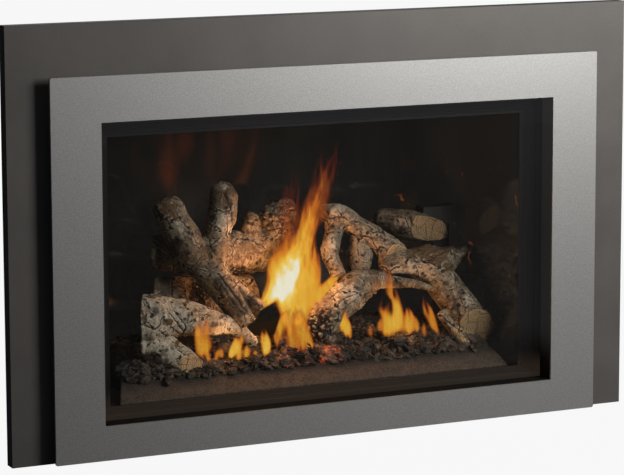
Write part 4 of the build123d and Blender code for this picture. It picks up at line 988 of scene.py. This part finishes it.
def make_log(name, look, seed):
    """One log: its body, then bark, peel, char, knobs and cracks raised on it and stored for the finish."""
    thing, limbs, cuts = log_body(name, look, seed)
    mesh = thing.data
    co = vertex_values(mesh, "co")
    no = vertex_values(mesh, "normal")
    points = in_mm(co)
    along, around, fork = nearest_limb(points, limbs)
    cut, rings = cut_ends(points, no, cuts)
    big, mid, small, tiny = (noise_at(points, scale, shift) for scale, shift in (
        (0.019, seed * 3.1), (0.06, seed * 1.7), (0.17, seed), (0.42, seed + 5)))
    across = points[:, 0] - SEEN_SIDE * (points[:, 1] - MARK_DEPTH)
    up = points[:, 2] - SEEN_RISE * (points[:, 1] - MARK_DEPTH)
    facing = clipped((0.35 - no @ np.array(SEEN_WAY)) / 0.3)
    ragged = mid * 0.45 + small * 0.55

    def marks(kind, fray):
        return marked(MARKS[name].get(kind, []), across, up, fray, facing)

    char = marks("char", ragged) * (1 - cut * 0.6)
    rough = marks("rough", ragged)
    stain = marks("stain", ragged)
    pale = marks("pale", ragged * 1.3)
    groove = grooved(GROOVES[name], across + small * 2.0, up + tiny * 1.2, facing)
    wrinkle = np.exp(-(fork / 0.10) ** 2) * (0.5 + small)
    drawn = np.stack((along * 0.03, around * 0.09, np.zeros(len(points))), axis=1)
    tear = np.array([noise.fractal(Vector(p) + Vector((seed, 0, 0)), 1.0, 2.0, 4) for p in drawn])
    wild = clipped(tear * 0.8 + big * 0.5 + look["peel"] - 0.28)
    peel = np.maximum(marks("tan", ragged * 1.4 + tear * 0.5), wild * (1 - facing * 0.75))
    peel = peel * (1 - cut) * (1 - pale * 0.8)
    step = clipped((peel - 0.40) / 0.16)
    lip = np.exp(-((peel - 0.36) / 0.05) ** 2)
    lump = cells_at(points, 0.085)
    knobs = cells_at(points, 0.16)
    fibre = np.array([noise.noise(Vector((a * 0.02, b * 0.35, seed))) for a, b in zip(along, around)])
    height = big * 2.4 + mid * 1.3 + small * 0.55 * (1 - step)
    height += -1.8 * step + lip * 0.7 + fibre * 1.1 * step + tiny * 0.35 + pale * 0.5
    height += char * (knobs * 5.5 - 2.2 + small * 1.2) + rough * (lump * 9.0 - 2.5 + small * 1.5)
    height += -2.6 * groove - 1.2 * wrinkle
    height = height * (1 - cut) + cut * (small * 0.7 + tiny * 0.5 - 1.5 * groove)
    co += no * height[:, None] * MM
    mesh.vertices.foreach_set("co", co.ravel())
    mesh.update()
    shade(mesh, True)
    crest = clipped(rough * (lump - 0.16) * 4 + char * (knobs - 0.22) * 2.5)
    groove = clipped(groove + wrinkle * 0.7 + rough * np.clip(0.10 - lump, 0, 0.1) * 8)
    light = clipped(look["light"] + big * 0.4 + pale * 0.8)
    tone = np.full(len(points), look["tone"])
    sooty = np.maximum(char, rough * 0.45)
    stored = along, around, sooty, peel, cut, rings, light, stain, groove, crest, tone
    for key, values in zip(BARK_VALUES, stored):
        set_values(mesh, key, values)
    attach(thing, "insert")
    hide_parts("log_" + name)


for order, (log_name, log_look) in enumerate(LOGS.items()):
    make_log(log_name, log_look, 1.37 * (order + 1))


# ------------------------------------------------------------------ ember bed
BED_LOW, BED_TOP = 74, 124.0        # mm, height of the bed at its front and back
BED_FOOT, BED_CAP = 70.2, 134       # underside of the crust and its highest point
BED_FRONT, BED_BACK = 60, 342       # depths of the crust


def bed_height(x, y):
    way = min(max((y - BED_FRONT) / 90, 0), 1)
    z = BED_LOW + (BED_TOP - BED_LOW) * (1 - (1 - way) ** 1.6)
    lumps = 0 if y < 100 else 3.5 * sin(0.041 * x + 0.05 * y) + 2.5 * sin(0.083 * x - 0.03 * y + 1)
    return z + lumps


def bed_sides(y):
    """Left and right ends of the bed at a depth."""
    left = np.interp(y, [59, 100, 150, 345], [-357, -340, -318, -306])
    right = np.interp(y, [59, 110, 170, 345], [372, 350, 338, 306])
    return left, right


def near_middle(values, middle, reach):
    """1 at the middle, falling to 0 at the reach."""
    return clipped(1 - np.abs(values - middle) / reach)


def make_bed():
    """Rolling crust of the bed, smooth at the front and broken further back."""
    columns, rows = 250, 96
    verts = []
    for j in range(rows + 1):
        y = BED_FRONT + (BED_BACK - BED_FRONT) * (j / rows) ** 1.15
        left, right = bed_sides(y)
        for i in range(columns + 1):
            x = left + (right - left) * i / columns
            rough = min(max((y - 84) / 22, 0), 1)
            p = Vector((x, y, 0))
            crust = min(walls(Vector((x * 0.075, y * 0.095, 3))), 0.5) * 11 - 4 + noise.noise(p * 0.2) * 2.5
            z = bed_height(x, y) + rough * crust + noise.noise(p * 0.03) * 0.8
            verts.append((x, y, min(z, BED_CAP)))
    top = len(verts)
    faces = grid_faces(columns, rows)
    wide = columns + 1
    edge = list(range(wide))
    edge += [j * wide + columns for j in range(1, rows + 1)]
    edge += [rows * wide + i for i in range(columns - 1, -1, -1)]
    edge += [j * wide for j in range(rows - 1, 0, -1)]
    verts += [(verts[i][0], verts[i][1], BED_FOOT) for i in edge]
    for k in range(len(edge)):
        n = (k + 1) % len(edge)
        faces.append((edge[n], edge[k], top + k, top + n))
    faces.append(tuple(range(top, top + len(edge)))[::-1])
    thing = piece("ember_crust", [at(*v) for v in verts], faces, FINISHES["char"])
    x, y, _ = np.array(verts).T
    set_values(thing.data, "ash", np.clip((y - 80) / 60, 0.05, 0.6))
    set_values(thing.data, "hotness", near_middle(x, 20, 130) * near_middle(y, 120, 40))
    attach(thing, "insert")
    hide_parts("ember_bed")


make_bed()


SPLINTER = 1.35     # how much longer than wide a flake is


def flake(seed):
    """Angular splinter of char with a few dozen faces."""
    mesh = bpy.data.meshes.new("flake_" + str(seed))
    shape = bmesh.new()
    bmesh.ops.create_icosphere(shape, subdivisions=2, radius=1.0)
    for v in shape.verts:
        swell = noise.noise(v.co * 1.3 + Vector((seed * 7.1, 0, 0)))
        v.co *= 0.72 + 0.5 * swell + 0.45 * min(walls(v.co * 1.1 + Vector((0, seed * 3.3, 0))), 0.7)
        v.co.z *= 0.55
        v.co.x *= SPLINTER
    far = [hypot(v.co.x / SPLINTER, v.co.y) + v.co.z for v in shape.verts]
    shape.to_mesh(mesh)
    shape.free()
    set_values(mesh, "edge", [min(max((d - 0.75) / 0.5, 0), 1) for d in far])
    return bpy.data.objects.new(mesh.name, mesh)


SOCKET_KINDS = {float: "NodeSocketFloat", bpy.types.Collection: "NodeSocketCollection",
                bpy.types.Material: "NodeSocketMaterial"}


class Tree(Nodes):
    """Geometry node tree with named inputs, run once over a ground mesh."""

    def __init__(self, name, **values):
        super().__init__(bpy.data.node_groups.new(name, "GeometryNodeTree"))
        face = self.tree.interface
        face.new_socket("Geometry", in_out="INPUT", socket_type="NodeSocketGeometry")
        self.values = {}
        for label, value in values.items():
            socket = face.new_socket(label, in_out="INPUT", socket_type=SOCKET_KINDS[type(value)])
            self.values[socket.identifier] = value
        face.new_socket("Geometry", in_out="OUTPUT", socket_type="NodeSocketGeometry")
        self.given = self.node("NodeGroupInput")

    def grown(self, name, ground, geometry):
        """Plain object of what the tree makes."""
        solid = self.node("GeometryNodeRealizeInstances", {}, {0: geometry})
        done = self.node("GeometryNodeSetMaterial", {}, {
            "Geometry": solid[0], "Material": self.given["Finish"]})
        self.node("NodeGroupOutput", {}, {0: done[0]})
        thing = linked(name, ground)
        grow = thing.modifiers.new(name, "NODES")
        grow.node_group = self.tree
        for identifier, value in self.values.items():
            grow[identifier] = value
        settle(thing)
        return thing


def scatter_flakes(name, ground, count, small, large, seed):
    """Strew splinters over a ground mesh; count is per square metre, sizes in mm."""
    kinds = bpy.data.collections.new(name + "_kinds")
    for k in range(5):
        kinds.objects.link(flake(k + seed * 10))
    t = Tree(name, Kinds=kinds, Count=count, Smallest=small * MM, Largest=large * MM, Finish=FINISHES["char"])
    spread = t.node("GeometryNodeDistributePointsOnFaces", {"distribute_method": "RANDOM"}, {
        "Mesh": t.given["Geometry"], "Density": t.given["Count"], "Seed": seed})
    size = t.node("FunctionNodeRandomValue", {"data_type": "FLOAT"}, {
        2: t.given["Smallest"], 3: t.given["Largest"], "Seed": seed + 1})
    turn = t.node("FunctionNodeRandomValue", {"data_type": "FLOAT_VECTOR"}, {
        0: (-0.9, -0.9, 0.0), 1: (0.9, 0.9, 6.28), "Seed": seed + 2})
    info = t.node("GeometryNodeCollectionInfo", {}, {
        "Collection": t.given["Kinds"], "Separate Children": True, "Reset Children": True})
    strewn = t.node("GeometryNodeInstanceOnPoints", {}, {
        "Points": spread["Points"], "Instance": info[0], "Pick Instance": True,
        "Rotation": turn[0], "Scale": size[1]})
    thing = t.grown(name, ground, strewn[0])
    mesh = thing.data
    shade(mesh, False)
    x, y, _ = in_mm(vertex_values(mesh, "co")).T
    blocks = np.floor(x / ASH_BLOCK) * 12.9898 + np.floor(y / ASH_BLOCK) * 78.233
    tone = np.modf(np.abs(np.sin(blocks) * 43758.5453))[0]
    for old in ("ash", "hotness"):
        if old in mesh.attributes:
            mesh.attributes.remove(mesh.attributes[old])
    set_values(mesh, "ash", tone)
    set_values(mesh, "hotness", near_middle(x, 25, 140) * near_middle(y, 108, 34) * (tone > 0.45))
    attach(thing, "insert")
    for kind in list(kinds.objects):
        bpy.data.objects.remove(kind)
    bpy.data.collections.remove(kinds)


def ground_patch(name, strips):
    """Ground to strew on: x from, x to, y from, y to and height above the bed of each strip."""
    verts, faces = [], []
    for x0, x1, y0, y1, lift in strips:
        columns, rows = max(2, int((x1 - x0) / 14)), max(2, int((y1 - y0) / 8))
        faces += grid_faces(columns, rows, len(verts))
        for j in range(rows + 1):
            for i in range(columns + 1):
                x = x0 + (x1 - x0) * i / columns
                y = y0 + (y1 - y0) * j / rows
                verts.append(at(x, y, bed_height(x, y) + lift))
    return mesh_of(name, verts, faces)


ASH_BLOCK = 14.0    # mm between flakes of another tone
STRIPS = [(-335, 330, 92, 132, 1.0), (-300, 300, 150, 330, 0.0)]
scatter_flakes("char_flakes", ground_patch("front_strip", STRIPS), 14000.0, 5.0, 11.0, 3)

# Lumps of char: x, y, size and turn.
CHUNKS = [
    (-300, 92, 11, 20), (-262, 84, 9, 70), (-176, 100, 12, 140), (-140, 92, 9, 30), (-96, 104, 13, 95),
    (-40, 96, 10, 10), (8, 106, 12, 60), (66, 98, 10, 120), (112, 106, 13, 15), (152, 104, 16, 80),
    (188, 116, 18, 35), (222, 104, 13, 110), (262, 98, 10, 50), (296, 100, 9, 150), (-20, 150, 14, 45),
    (170, 142, 15, 100), (246, 140, 15, 20), (-134, 138, 23, 15),
]


def make_chunks():
    """Larger lumps of char where the solids put them."""
    verts, faces, ash, heat = [], [], [], []
    for number, (x, y, size, turn) in enumerate(CHUNKS):
        shape = bmesh.new()
        bmesh.ops.create_icosphere(shape, subdivisions=4, radius=1.0)
        spin = Matrix.Rotation(turn * pi / 180, 3, "Z")
        base = len(verts)
        centre = Vector((x, y, bed_height(x, y) + 3))
        for v in shape.verts:
            p = v.co.copy()
            cell = min(walls(p * 1.6 + Vector((number * 5.3, 0, 0))), 0.6)
            p *= 0.80 + 0.35 * cell + 0.16 * noise.noise(p * 4 + Vector((number, 1, 0)))
            p = centre + spin @ Vector((p.x * 1.35, p.y * 0.85, p.z * 0.85)) * size
            p.z = max(p.z, bed_height(p.x, p.y) - 3)
            verts.append(at(*p))
            ash.append(0.25 + 0.5 * abs(noise.noise(p * 0.05)))
            heat.append(max(0.0, 1 - abs(p.x - 30) / 150) * (0.8 if p.z < centre.z else 0.1))
        faces += [tuple(v.index + base for v in face.verts) for face in shape.faces]
        shape.free()
    thing = piece("char_lumps", verts, faces, FINISHES["char"])
    set_values(thing.data, "ash", ash)
    set_values(thing.data, "hotness", heat)
    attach(thing, "insert")
    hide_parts("char_chunks")


make_chunks()


# ------------------------------------------------------------------ barrier screen
WIRE_PITCH, WIRE_RADIUS = 0.0017, 0.00006     # metres


def make_screen():
    """Fine wires both ways, let into the barrier frame."""
    low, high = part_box("barrier_mesh")
    t = Tree("screen_weave", Width=high.x - low.x - 0.002, Height=high.z - low.z - 0.002, Pitch=WIRE_PITCH,
             Wire=WIRE_RADIUS, Finish=FINISHES["screen_wire"])
    section = t.node("GeometryNodeCurvePrimitiveCircle", {}, {"Resolution": 4, "Radius": t.given["Wire"]})
    ways = []
    for across, run, turn in (("Width", "Height", 0.0), ("Height", "Width", pi / 2)):
        half = t.given[run] * 0.5
        wire = t.node("GeometryNodeCurvePrimitiveLine", {}, {
            "Start": t.vector(z=half * -1.0), "End": t.vector(z=half)})
        tube = t.node("GeometryNodeCurveToMesh", {}, {
            "Curve": wire[0], "Profile Curve": section[0], "Fill Caps": True})
        count = t.node("FunctionNodeFloatToInt", {}, {0: t.given[across] / t.given["Pitch"]})
        row = t.node("GeometryNodeMeshLine", {}, {
            "Count": count[0], "Start Location": t.vector(t.given[across] * -0.5),
            "Offset": t.vector(t.given["Pitch"])})
        many = t.node("GeometryNodeInstanceOnPoints", {}, {"Points": row[0], "Instance": tube[0]})
        solid = t.node("GeometryNodeRealizeInstances", {}, {0: many[0]})
        turned = t.node("GeometryNodeTransform", {}, {"Geometry": solid[0], "Rotation": (0.0, turn, 0.0)})
        ways.append(turned[0])
    both = t.node("GeometryNodeJoinGeometry", {}, {0: ways})
    thing = t.grown("screen_weave", bpy.data.meshes.new("screen_weave"), both[0])
    thing.data.transform(Matrix.Translation((low + high) / 2))
    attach(thing, "screen")
    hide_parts("barrier_mesh")


make_screen()


# ------------------------------------------------------------------ flames
# Each flame: heat, how many tongues, how far they stray sideways, and its guide line of
# x, y, z and half width in mm from the root to the tip. One group shares one soft sheet.
FLAMES = {
    "main": [
        (2.20, 7, 0.9, [(-27, 160, 200, 10.2), (-15, 168, 217, 16.9), (-2, 176, 236, 20.3),
         (10, 183, 256, 17.8), (23, 190, 277, 12.7), (35, 195, 295, 6.8)]),
        (1.12, 6, 0.9, [(-71, 150, 182, 2.7), (-50, 159, 199, 8.5), (-25, 168, 219, 16.1),
         (-6, 178, 241, 21.2), (10, 185, 262, 18.6), (27, 192, 283, 13.6), (42, 198, 305, 8.5),
         (51, 201, 324, 5.1)]),
        (0.98, 9, 1, [(-8, 130, 129, 8.5), (-6, 140, 153, 13.6), (-2, 150, 175, 17.8), (3, 159, 196, 22.9),
         (12, 171, 223, 28.8), (22, 181, 250, 27.1), (33, 190, 277, 22), (46, 199, 307, 16.1),
         (56, 204, 338, 10.2), (62, 206, 361, 5.1)]),
        (0.80, 5, 0.9, [(14, 138, 146, 6.8), (16, 148, 171, 10.2), (30, 160, 197, 13.6), (45, 171, 220, 13.6),
         (55, 180, 244, 11.9), (61, 189, 272, 10.2), (64, 197, 300, 8.5), (67, 202, 326, 5.1)]),
        (0.86, 4, 0.6, [(26, 152, 178, 8.5), (49, 162, 199, 13.6), (72, 170, 216, 13.6), (91, 177, 232, 10.2),
         (107, 183, 250, 7.6), (119, 190, 273, 3.1)]),
        (0.74, 5, 0.9, [(31, 186, 266, 15.3), (42, 196, 296, 16.1), (52, 201, 321, 16.1),
         (61, 205, 346, 14.4), (68, 207, 369, 11.9), (78, 209, 392, 10.2), (86, 210, 415, 7.6)]),
        (0.55, 4, 0.8, [(-26, 169, 220, 8.5), (-23, 179, 245, 13.6), (-10, 186, 269, 15.3),
         (8, 194, 293, 13.6), (21, 200, 317, 10.2), (28, 204, 340, 6.8)]),
    ],
    "plume": [
        (0.38, 7, 1, [(52, 199, 310, 13.6), (63, 204, 343, 16.9), (73, 207, 372, 17.8), (82, 209, 397, 16.9),
         (90, 211, 423, 16.1), (97, 212, 449, 14.4), (104, 213, 475, 11), (109, 214, 504, 6.8)]),
        (0.28, 6, 1, [(18, 188, 273, 13.6), (23, 199, 312, 13.6), (24, 204, 346, 15.3), (24, 207, 375, 14.4),
         (27, 209, 401, 10.2), (31, 211, 424, 6.8), (36, 212, 444, 4.2)]),
        (0.20, 3, 0.9, [(5, 193, 290, 13.6), (7, 201, 324, 13.6), (8, 205, 353, 11.9), (11, 208, 382, 8.5),
         (15, 210, 404, 5.1)]),
    ],
    "roots": [
        (0.33, 7, 1, [(-11, 119, 111, 20.9), (-5, 133, 134, 25.8), (-2, 141, 156, 24.2), (1, 151, 177, 22.5),
         (8, 162, 201, 19.3)]),
        (1.20, 2, 0.5, [(-43, 128, 125, 2.4), (-38, 135, 142, 6.4), (-29, 142, 161, 8.1),
         (-16, 152, 180, 9.7), (-4, 160, 199, 9.7)]),
        (1.20, 2, 0.5, [(-21, 119, 112, 2.3), (-13, 130, 129, 5.8), (-9, 138, 148, 7.1), (-5, 147, 170, 8.1),
         (2, 158, 194, 9.7)]),
        (1.25, 2, 0.5, [(-13, 114, 105, 1.9), (-3, 128, 123, 5.5), (1, 137, 145, 6.8), (4, 146, 166, 8.1),
         (9, 157, 190, 9.7)]),
        (1.20, 2, 0.5, [(8, 127, 118, 2.3), (10, 133, 135, 5.8), (9, 140, 152, 7.1), (12, 148, 171, 8.1),
         (18, 158, 192, 9.7)]),
        (1.20, 2, 0.5, [(28, 121, 109, 2.3), (24, 130, 126, 6.1), (19, 137, 142, 7.4), (16, 144, 161, 8.1),
         (18, 153, 181, 9.7)]),
        (0.90, 2, 0.5, [(-32, 137, 147, 2.6), (-24, 144, 165, 6.4), (-13, 152, 181, 8.1),
         (-2, 159, 197, 8.1)]),
    ],
    "left": [
        (0.78, 3, 0.6, [(-185, 106, 125, 10.1), (-187, 108, 144, 18.7), (-188, 110, 166, 17.3),
         (-189, 112, 188, 13), (-188, 114, 206, 7.2)]),
        (0.83, 1, 0.2, [(-176, 104, 119, 2.3), (-181, 106, 133, 5.8), (-185, 108, 154, 8.6)]),
        (0.78, 1, 0.2, [(-166, 105, 120, 2.9), (-163, 106, 132, 5.8), (-158, 108, 143, 3.5)]),
        (0.78, 1, 0.2, [(-154, 106, 124, 2.9), (-153, 107, 134, 5.2), (-153, 108, 146, 2.9)]),
        (1.00, 3, 0.5, [(-139, 104, 121, 4.3), (-131, 107, 137, 11.5), (-122, 110, 151, 13),
         (-111, 113, 169, 5.8)]),
        (0.98, 1, 0.3, [(-125, 104, 116, 2.9), (-121, 106, 130, 6.9), (-118, 108, 145, 4.6)]),
        (1.00, 1, 0.3, [(-110, 106, 120, 4), (-106, 108, 131, 7.5), (-103, 110, 145, 4)]),
        (0.78, 1, 0.3, [(-91, 106, 113, 2.9), (-92, 107, 125, 5.8), (-90, 108, 137, 2.9)]),
        (1.00, 3, 0.5, [(-71, 108, 116, 4.6), (-70, 110, 133, 11.5), (-71, 112, 150, 11.5),
         (-73, 115, 172, 4.6)]),
    ],
    "right": [
        (0.55, 1, 0.3, [(45, 106, 111, 2.1), (41, 107, 122, 4.7), (35, 109, 134, 2.6)]),
        (0.98, 3, 0.5, [(83, 114, 136, 6.6), (81, 116, 157, 12.6), (82, 120, 178, 11.8),
         (84, 124, 203, 4.7)]),
        (0.80, 1, 0.3, [(91, 110, 133, 2.1), (88, 112, 150, 5.8), (86, 116, 171, 6.8)]),
        (0.78, 1, 0.3, [(130, 110, 135, 2.1), (128, 111, 145, 5.8), (127, 113, 161, 2.4)]),
        (0.96, 5, 0.8, [(179, 116, 126, 21), (180, 118, 150, 25), (177, 120, 177, 22.3),
         (174, 122, 205, 14.4), (173, 123, 223, 7.9)]),
        (0.52, 3, 0.5, [(174, 121, 195, 10.5), (172, 122, 217, 10.5), (171, 124, 242, 8.4),
         (170, 126, 261, 5.8), (168, 128, 279, 2.6)]),
        (0.55, 1, 0.3, [(150, 112, 141, 3.7), (149, 113, 152, 6.3), (149, 114, 166, 3.2)]),
        (0.85, 1, 0.3, [(160, 113, 137, 2.6), (159, 114, 153, 6.6), (162, 116, 175, 5.3)]),
        (0.88, 3, 0.5, [(211, 116, 130, 7.9), (210, 118, 149, 11.8), (205, 120, 174, 9.5),
         (203, 122, 203, 3.7)]),
        (0.80, 1, 0.3, [(222, 114, 133, 2.6), (219, 116, 151, 6.3), (211, 118, 178, 5.3)]),
        (0.72, 3, 0.5, [(265, 114, 122, 5.3), (256, 116, 142, 11), (247, 118, 168, 12.1),
         (240, 120, 191, 8.9), (238, 122, 214, 4.2)]),
        (0.60, 1, 0.3, [(238, 112, 125, 2.4), (235, 113, 137, 6.3), (236, 115, 153, 3.7)]),
    ],
}


THIN_GAS = 0.02     # below this a sheet ends
EASINGS = 40        # passes that smooth a sheet's depth


def seen_apart(x, y):
    """Sideways and depth, as seen, of a place in plan."""
    return x * COS_SEEN - y * SIN_SEEN, x * SIN_SEEN + y * COS_SEEN


def tongues(flames, chance):
    """Tongues that stray from their guide lines.

    Each is a row of sideways, depth, height, half width, fade, heat and way up."""
    found = []
    for heat, count, stray, stations in flames:
        line = np.array(curve_through(stations, 3.0))
        for number in range(count):
            alone = count == 1
            shift = 0.0 if alone else stray * (2 * (number + chance.uniform(0.1, 0.9)) / count - 1)
            slim = 1.0 if alone else chance.uniform(0.20, 0.48) + (0.14 if count < 5 else 0.0)
            start = 0 if alone else int(len(line) * chance.uniform(0.0, 0.16))
            stop = len(line) - (0 if alone else int(len(line) * chance.uniform(0.0, 0.28)))
            x, y, z, w = line[start:stop].T
            t = np.linspace(0.0, 1.0, len(z))
            sway = w * chance.uniform(0.10, 0.26)
            sway = sway * np.sin(chance.uniform(0, 6.28) + 0.055 * z + 3 * t) * (0.3 + t)
            sideways, depth = seen_apart(x, y)
            sideways = sideways + shift * w + sway
            depth = depth + chance.uniform(-0.25, 0.25) * w
            own = np.maximum(w * slim * np.minimum(1.0, 0.45 + 3.0 * t) * (1.0 - 0.65 * t ** 1.7), 0.9)
            fade = np.minimum(t / 0.16, 1.0) ** 0.7 * (1 - np.maximum(0.0, (t - 0.55) / 0.45) ** 1.6)
            found.append((sideways, depth, z, own, fade, heat * (1 - 0.25 * abs(shift)), t))
    return found


def gas_field(found, run, place, level):
    """Gas, heat, way up and depth on a grid, from the tongues near each of its points."""
    gas = np.zeros((len(level), len(place)))
    heat, rise, deep, weight = gas.copy(), gas.copy(), gas.copy(), gas.copy() + 1e-9
    for row in found:
        run_at, other, z, own, fade, hot, t = row[run], row[1 - run], *row[2:]
        far = ((place[None, :, None] - run_at) ** 2 + ((level[:, None, None] - z) * 0.8) ** 2) / own ** 2
        near = np.argmin(far, axis=2)
        least = np.take_along_axis(far, near[:, :, None], axis=2)[:, :, 0]
        gas += np.exp(-1.15 * least) * fade[near]
        soft = np.exp(-0.25 * np.minimum(least, 60.0))
        weight += soft
        heat += soft * hot
        rise += soft * t[near]
        deep += soft * other[near]
    heat, rise, deep = heat / weight, rise / weight, deep / weight
    inner = deep[1:-1, 1:-1]
    for _ in range(EASINGS):
        inner[:] = (inner * 2 + deep[:-2, 1:-1] + deep[2:, 1:-1] + deep[1:-1, :-2] + deep[1:-1, 2:]) / 6
    return gas, heat, rise, deep


def gas_sheet(found, run, step, verts, faces, values):
    """Thin bent sheet through the tongues, across the view (run 0) or along it (run 1)."""
    pad = max(float(np.max(row[3])) for row in found) * 2.2
    place = np.arange(min(float(row[run].min()) for row in found) - pad,
                      max(float(row[run].max()) for row in found) + pad, step)
    level = np.arange(min(float(row[2].min()) for row in found) - 3.0,
                      max(float(row[2].max()) for row in found) + pad, step * 1.5)
    gas, heat, rise, deep = gas_field(found, run, place, level)
    if run == 1:
        deep[:] = (deep * gas).sum(axis=1, keepdims=True) / (gas.sum(axis=1, keepdims=True) + 1e-9)
    order = -np.ones(gas.shape, dtype=int)
    base = len(verts)
    wanted = gas > THIN_GAS
    wanted[1:] |= wanted[:-1].copy()
    wanted[:, 1:] |= wanted[:, :-1].copy()
    for j, i in zip(*np.nonzero(wanted)):
        sideways, depth = (place[i], deep[j, i]) if run == 0 else (deep[j, i], place[i])
        order[j, i] = len(verts)
        x, y = sideways * COS_SEEN + depth * SIN_SEEN, depth * COS_SEEN - sideways * SIN_SEEN
        verts.append(at(x, y, level[j]))
        for kept, value in zip(values, (heat[j, i], rise[j, i], 1.0 - float(np.exp(-1.1 * gas[j, i])))):
            kept.append(value)
    for j in range(len(level) - 1):
        for i in range(len(place) - 1):
            ring = (order[j, i], order[j, i + 1], order[j + 1, i + 1], order[j + 1, i])
            if min(ring) >= base and gas[j:j + 2, i:i + 2].max() > THIN_GAS:
                faces.append(ring)


def make_flames(name, flames, chance, finish, layers):
    """Burning gas: soft sheets facing the room, crossed by one through each wide or lone flame."""
    verts, faces, values = [], [], ([], [], [])
    for layer in range(layers):
        moved = [(row[0], row[1] + 7.0 * layer, *row[2:]) for row in tongues(flames, chance)]
        gas_sheet(moved, 0, 1.1, verts, faces, values)
    for flame in flames:
        if flame[1] >= 7 or name in ("left", "right"):
            gas_sheet(tongues([flame], chance), 1, 2.0, verts, faces, values)
    thing = piece("flames_" + name, verts, faces, finish)
    for key, value in zip(GAS_VALUES, values):
        set_values(thing.data, key, value)
    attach(thing, "insert")


burning = flame_body()
for order, (flame_name, flame_rows) in enumerate(FLAMES.items()):
    make_flames(flame_name, flame_rows, Random(23 + order), burning, 2 if flame_name == "main" else 1)


# ------------------------------------------------------------------ stage, lights, camera
def make_stage():
    """Pale floor that the camera sees as near white."""
    f = Finish("pale_floor")
    paint = f.node("ShaderNodeBsdfPrincipled", {}, {
        "Base Color": f.mix(f.grain(2.0, 2.0), (0.10, 0.10, 0.10), (0.12, 0.12, 0.12)), "Roughness": 0.7})
    white = f.node("ShaderNodeEmission", {}, {"Color": rgba((1.0, 1.0, 1.0)), "Strength": 1.0})
    f.closed(f.node("ShaderNodeMixShader", {}, {0: f.seen_straight() * 0.93, 1: paint[0], 2: white[0]}))
    far, under = 12.0, -0.0005
    corners = [(-far, -far, under), (far, -far, under), (far, far, under), (-far, far, under)]
    floor = piece("studio_floor", corners, [(0, 1, 2, 3)], f.material, False)


def make_air():
    """White behind the object, a dim bluish room for everything else."""
    world = bpy.data.worlds.new("studio")
    bpy.context.scene.world = world
    world.use_nodes = True
    air = Nodes(world.node_tree)
    dim = air.node("ShaderNodeBackground", {}, {0: rgba((0.80, 0.86, 0.95)), 1: 0.03})
    bright = air.node("ShaderNodeBackground", {}, {0: rgba((1.0, 1.0, 1.0)), 1: 1.0})
    blend = air.node("ShaderNodeMixShader", {}, {0: air.seen_straight(), 1: dim[0], 2: bright[0]})
    air.node("ShaderNodeOutputWorld", {}, {0: blend[0]})


def lamp(kind, name, place, watts, colour):
    data = bpy.data.lights.new(name, kind)
    data.energy = watts
    data.color = colour
    lit = linked(name, data)
    lit.location = place
    lit.visible_camera = False
    return lit


def soft_light(name, place, target, width, height, watts, colour):
    """Soft box turned to its target."""
    box = lamp("AREA", name, place, watts, colour)
    box.data.shape = "RECTANGLE"
    box.data.size = width
    box.data.size_y = height
    box.rotation_euler = (Vector(target) - Vector(place)).to_track_quat("-Z", "Y").to_euler()


def fire_light(name, place, watts, colour, radius):
    """Glow of a flame on the logs round it."""
    glow = lamp("POINT", name, at(*place), watts, colour)
    glow.data.shadow_soft_size = radius
    glow.visible_glossy = False


make_stage()
make_air()
soft_light("key", (1.0, -1.55, 1.12), (0.40, -0.2, 0.60), 0.8, 0.9, 30.0, (1.0, 0.965, 0.90))
soft_light("fill", (-0.9, -1.0, 2.1), (-0.3, -0.2, 0.9), 1.0, 1.0, 1.4, (0.80, 0.88, 1.0))
soft_light("rear", (0.4, 2.8, 2.2), (0.0, 0.0, 0.3), 3.0, 3.0, 13.0, (1.0, 1.0, 1.0))
fire_light("fire_main", (-12, 150, 250), 2.0, (1.0, 0.44, 0.17), 0.05)
fire_light("fire_low", (30, 140, 150), 0.16, (1.0, 0.45, 0.15), 0.02)
fire_light("fire_left", (-140, 105, 145), 0.14, (1.0, 0.50, 0.2), 0.02)
fire_light("fire_right", (185, 118, 165), 0.30, (1.0, 0.50, 0.2), 0.02)


def make_camera():
    """Long lens from the left, above the object, that looks slightly down."""
    data = bpy.data.cameras.new("camera")
    camera = linked("camera", data)
    data.sensor_width = 36.0
    data.lens = 161.54
    data.shift_y = -0.0601
    data.clip_end = 60.0
    yaw, pitch, roll = 0.43547, 0.14840, -0.00317      # radians
    forward = Vector((sin(yaw) * cos(pitch), cos(yaw) * cos(pitch), -sin(pitch)))
    level = Vector((cos(yaw), -sin(yaw), 0.0))
    up = level.cross(forward)
    rolled = Matrix((level * cos(roll) + up * sin(roll), up * cos(roll) - level * sin(roll), -forward))
    camera.matrix_world = Matrix.Translation(at(-1975.57, -4173.71, 1088.86)) @ rolled.transposed().to_4x4()
    bpy.context.scene.camera = camera


make_camera()
bpy.context.scene.view_settings.view_transform = "Standard"
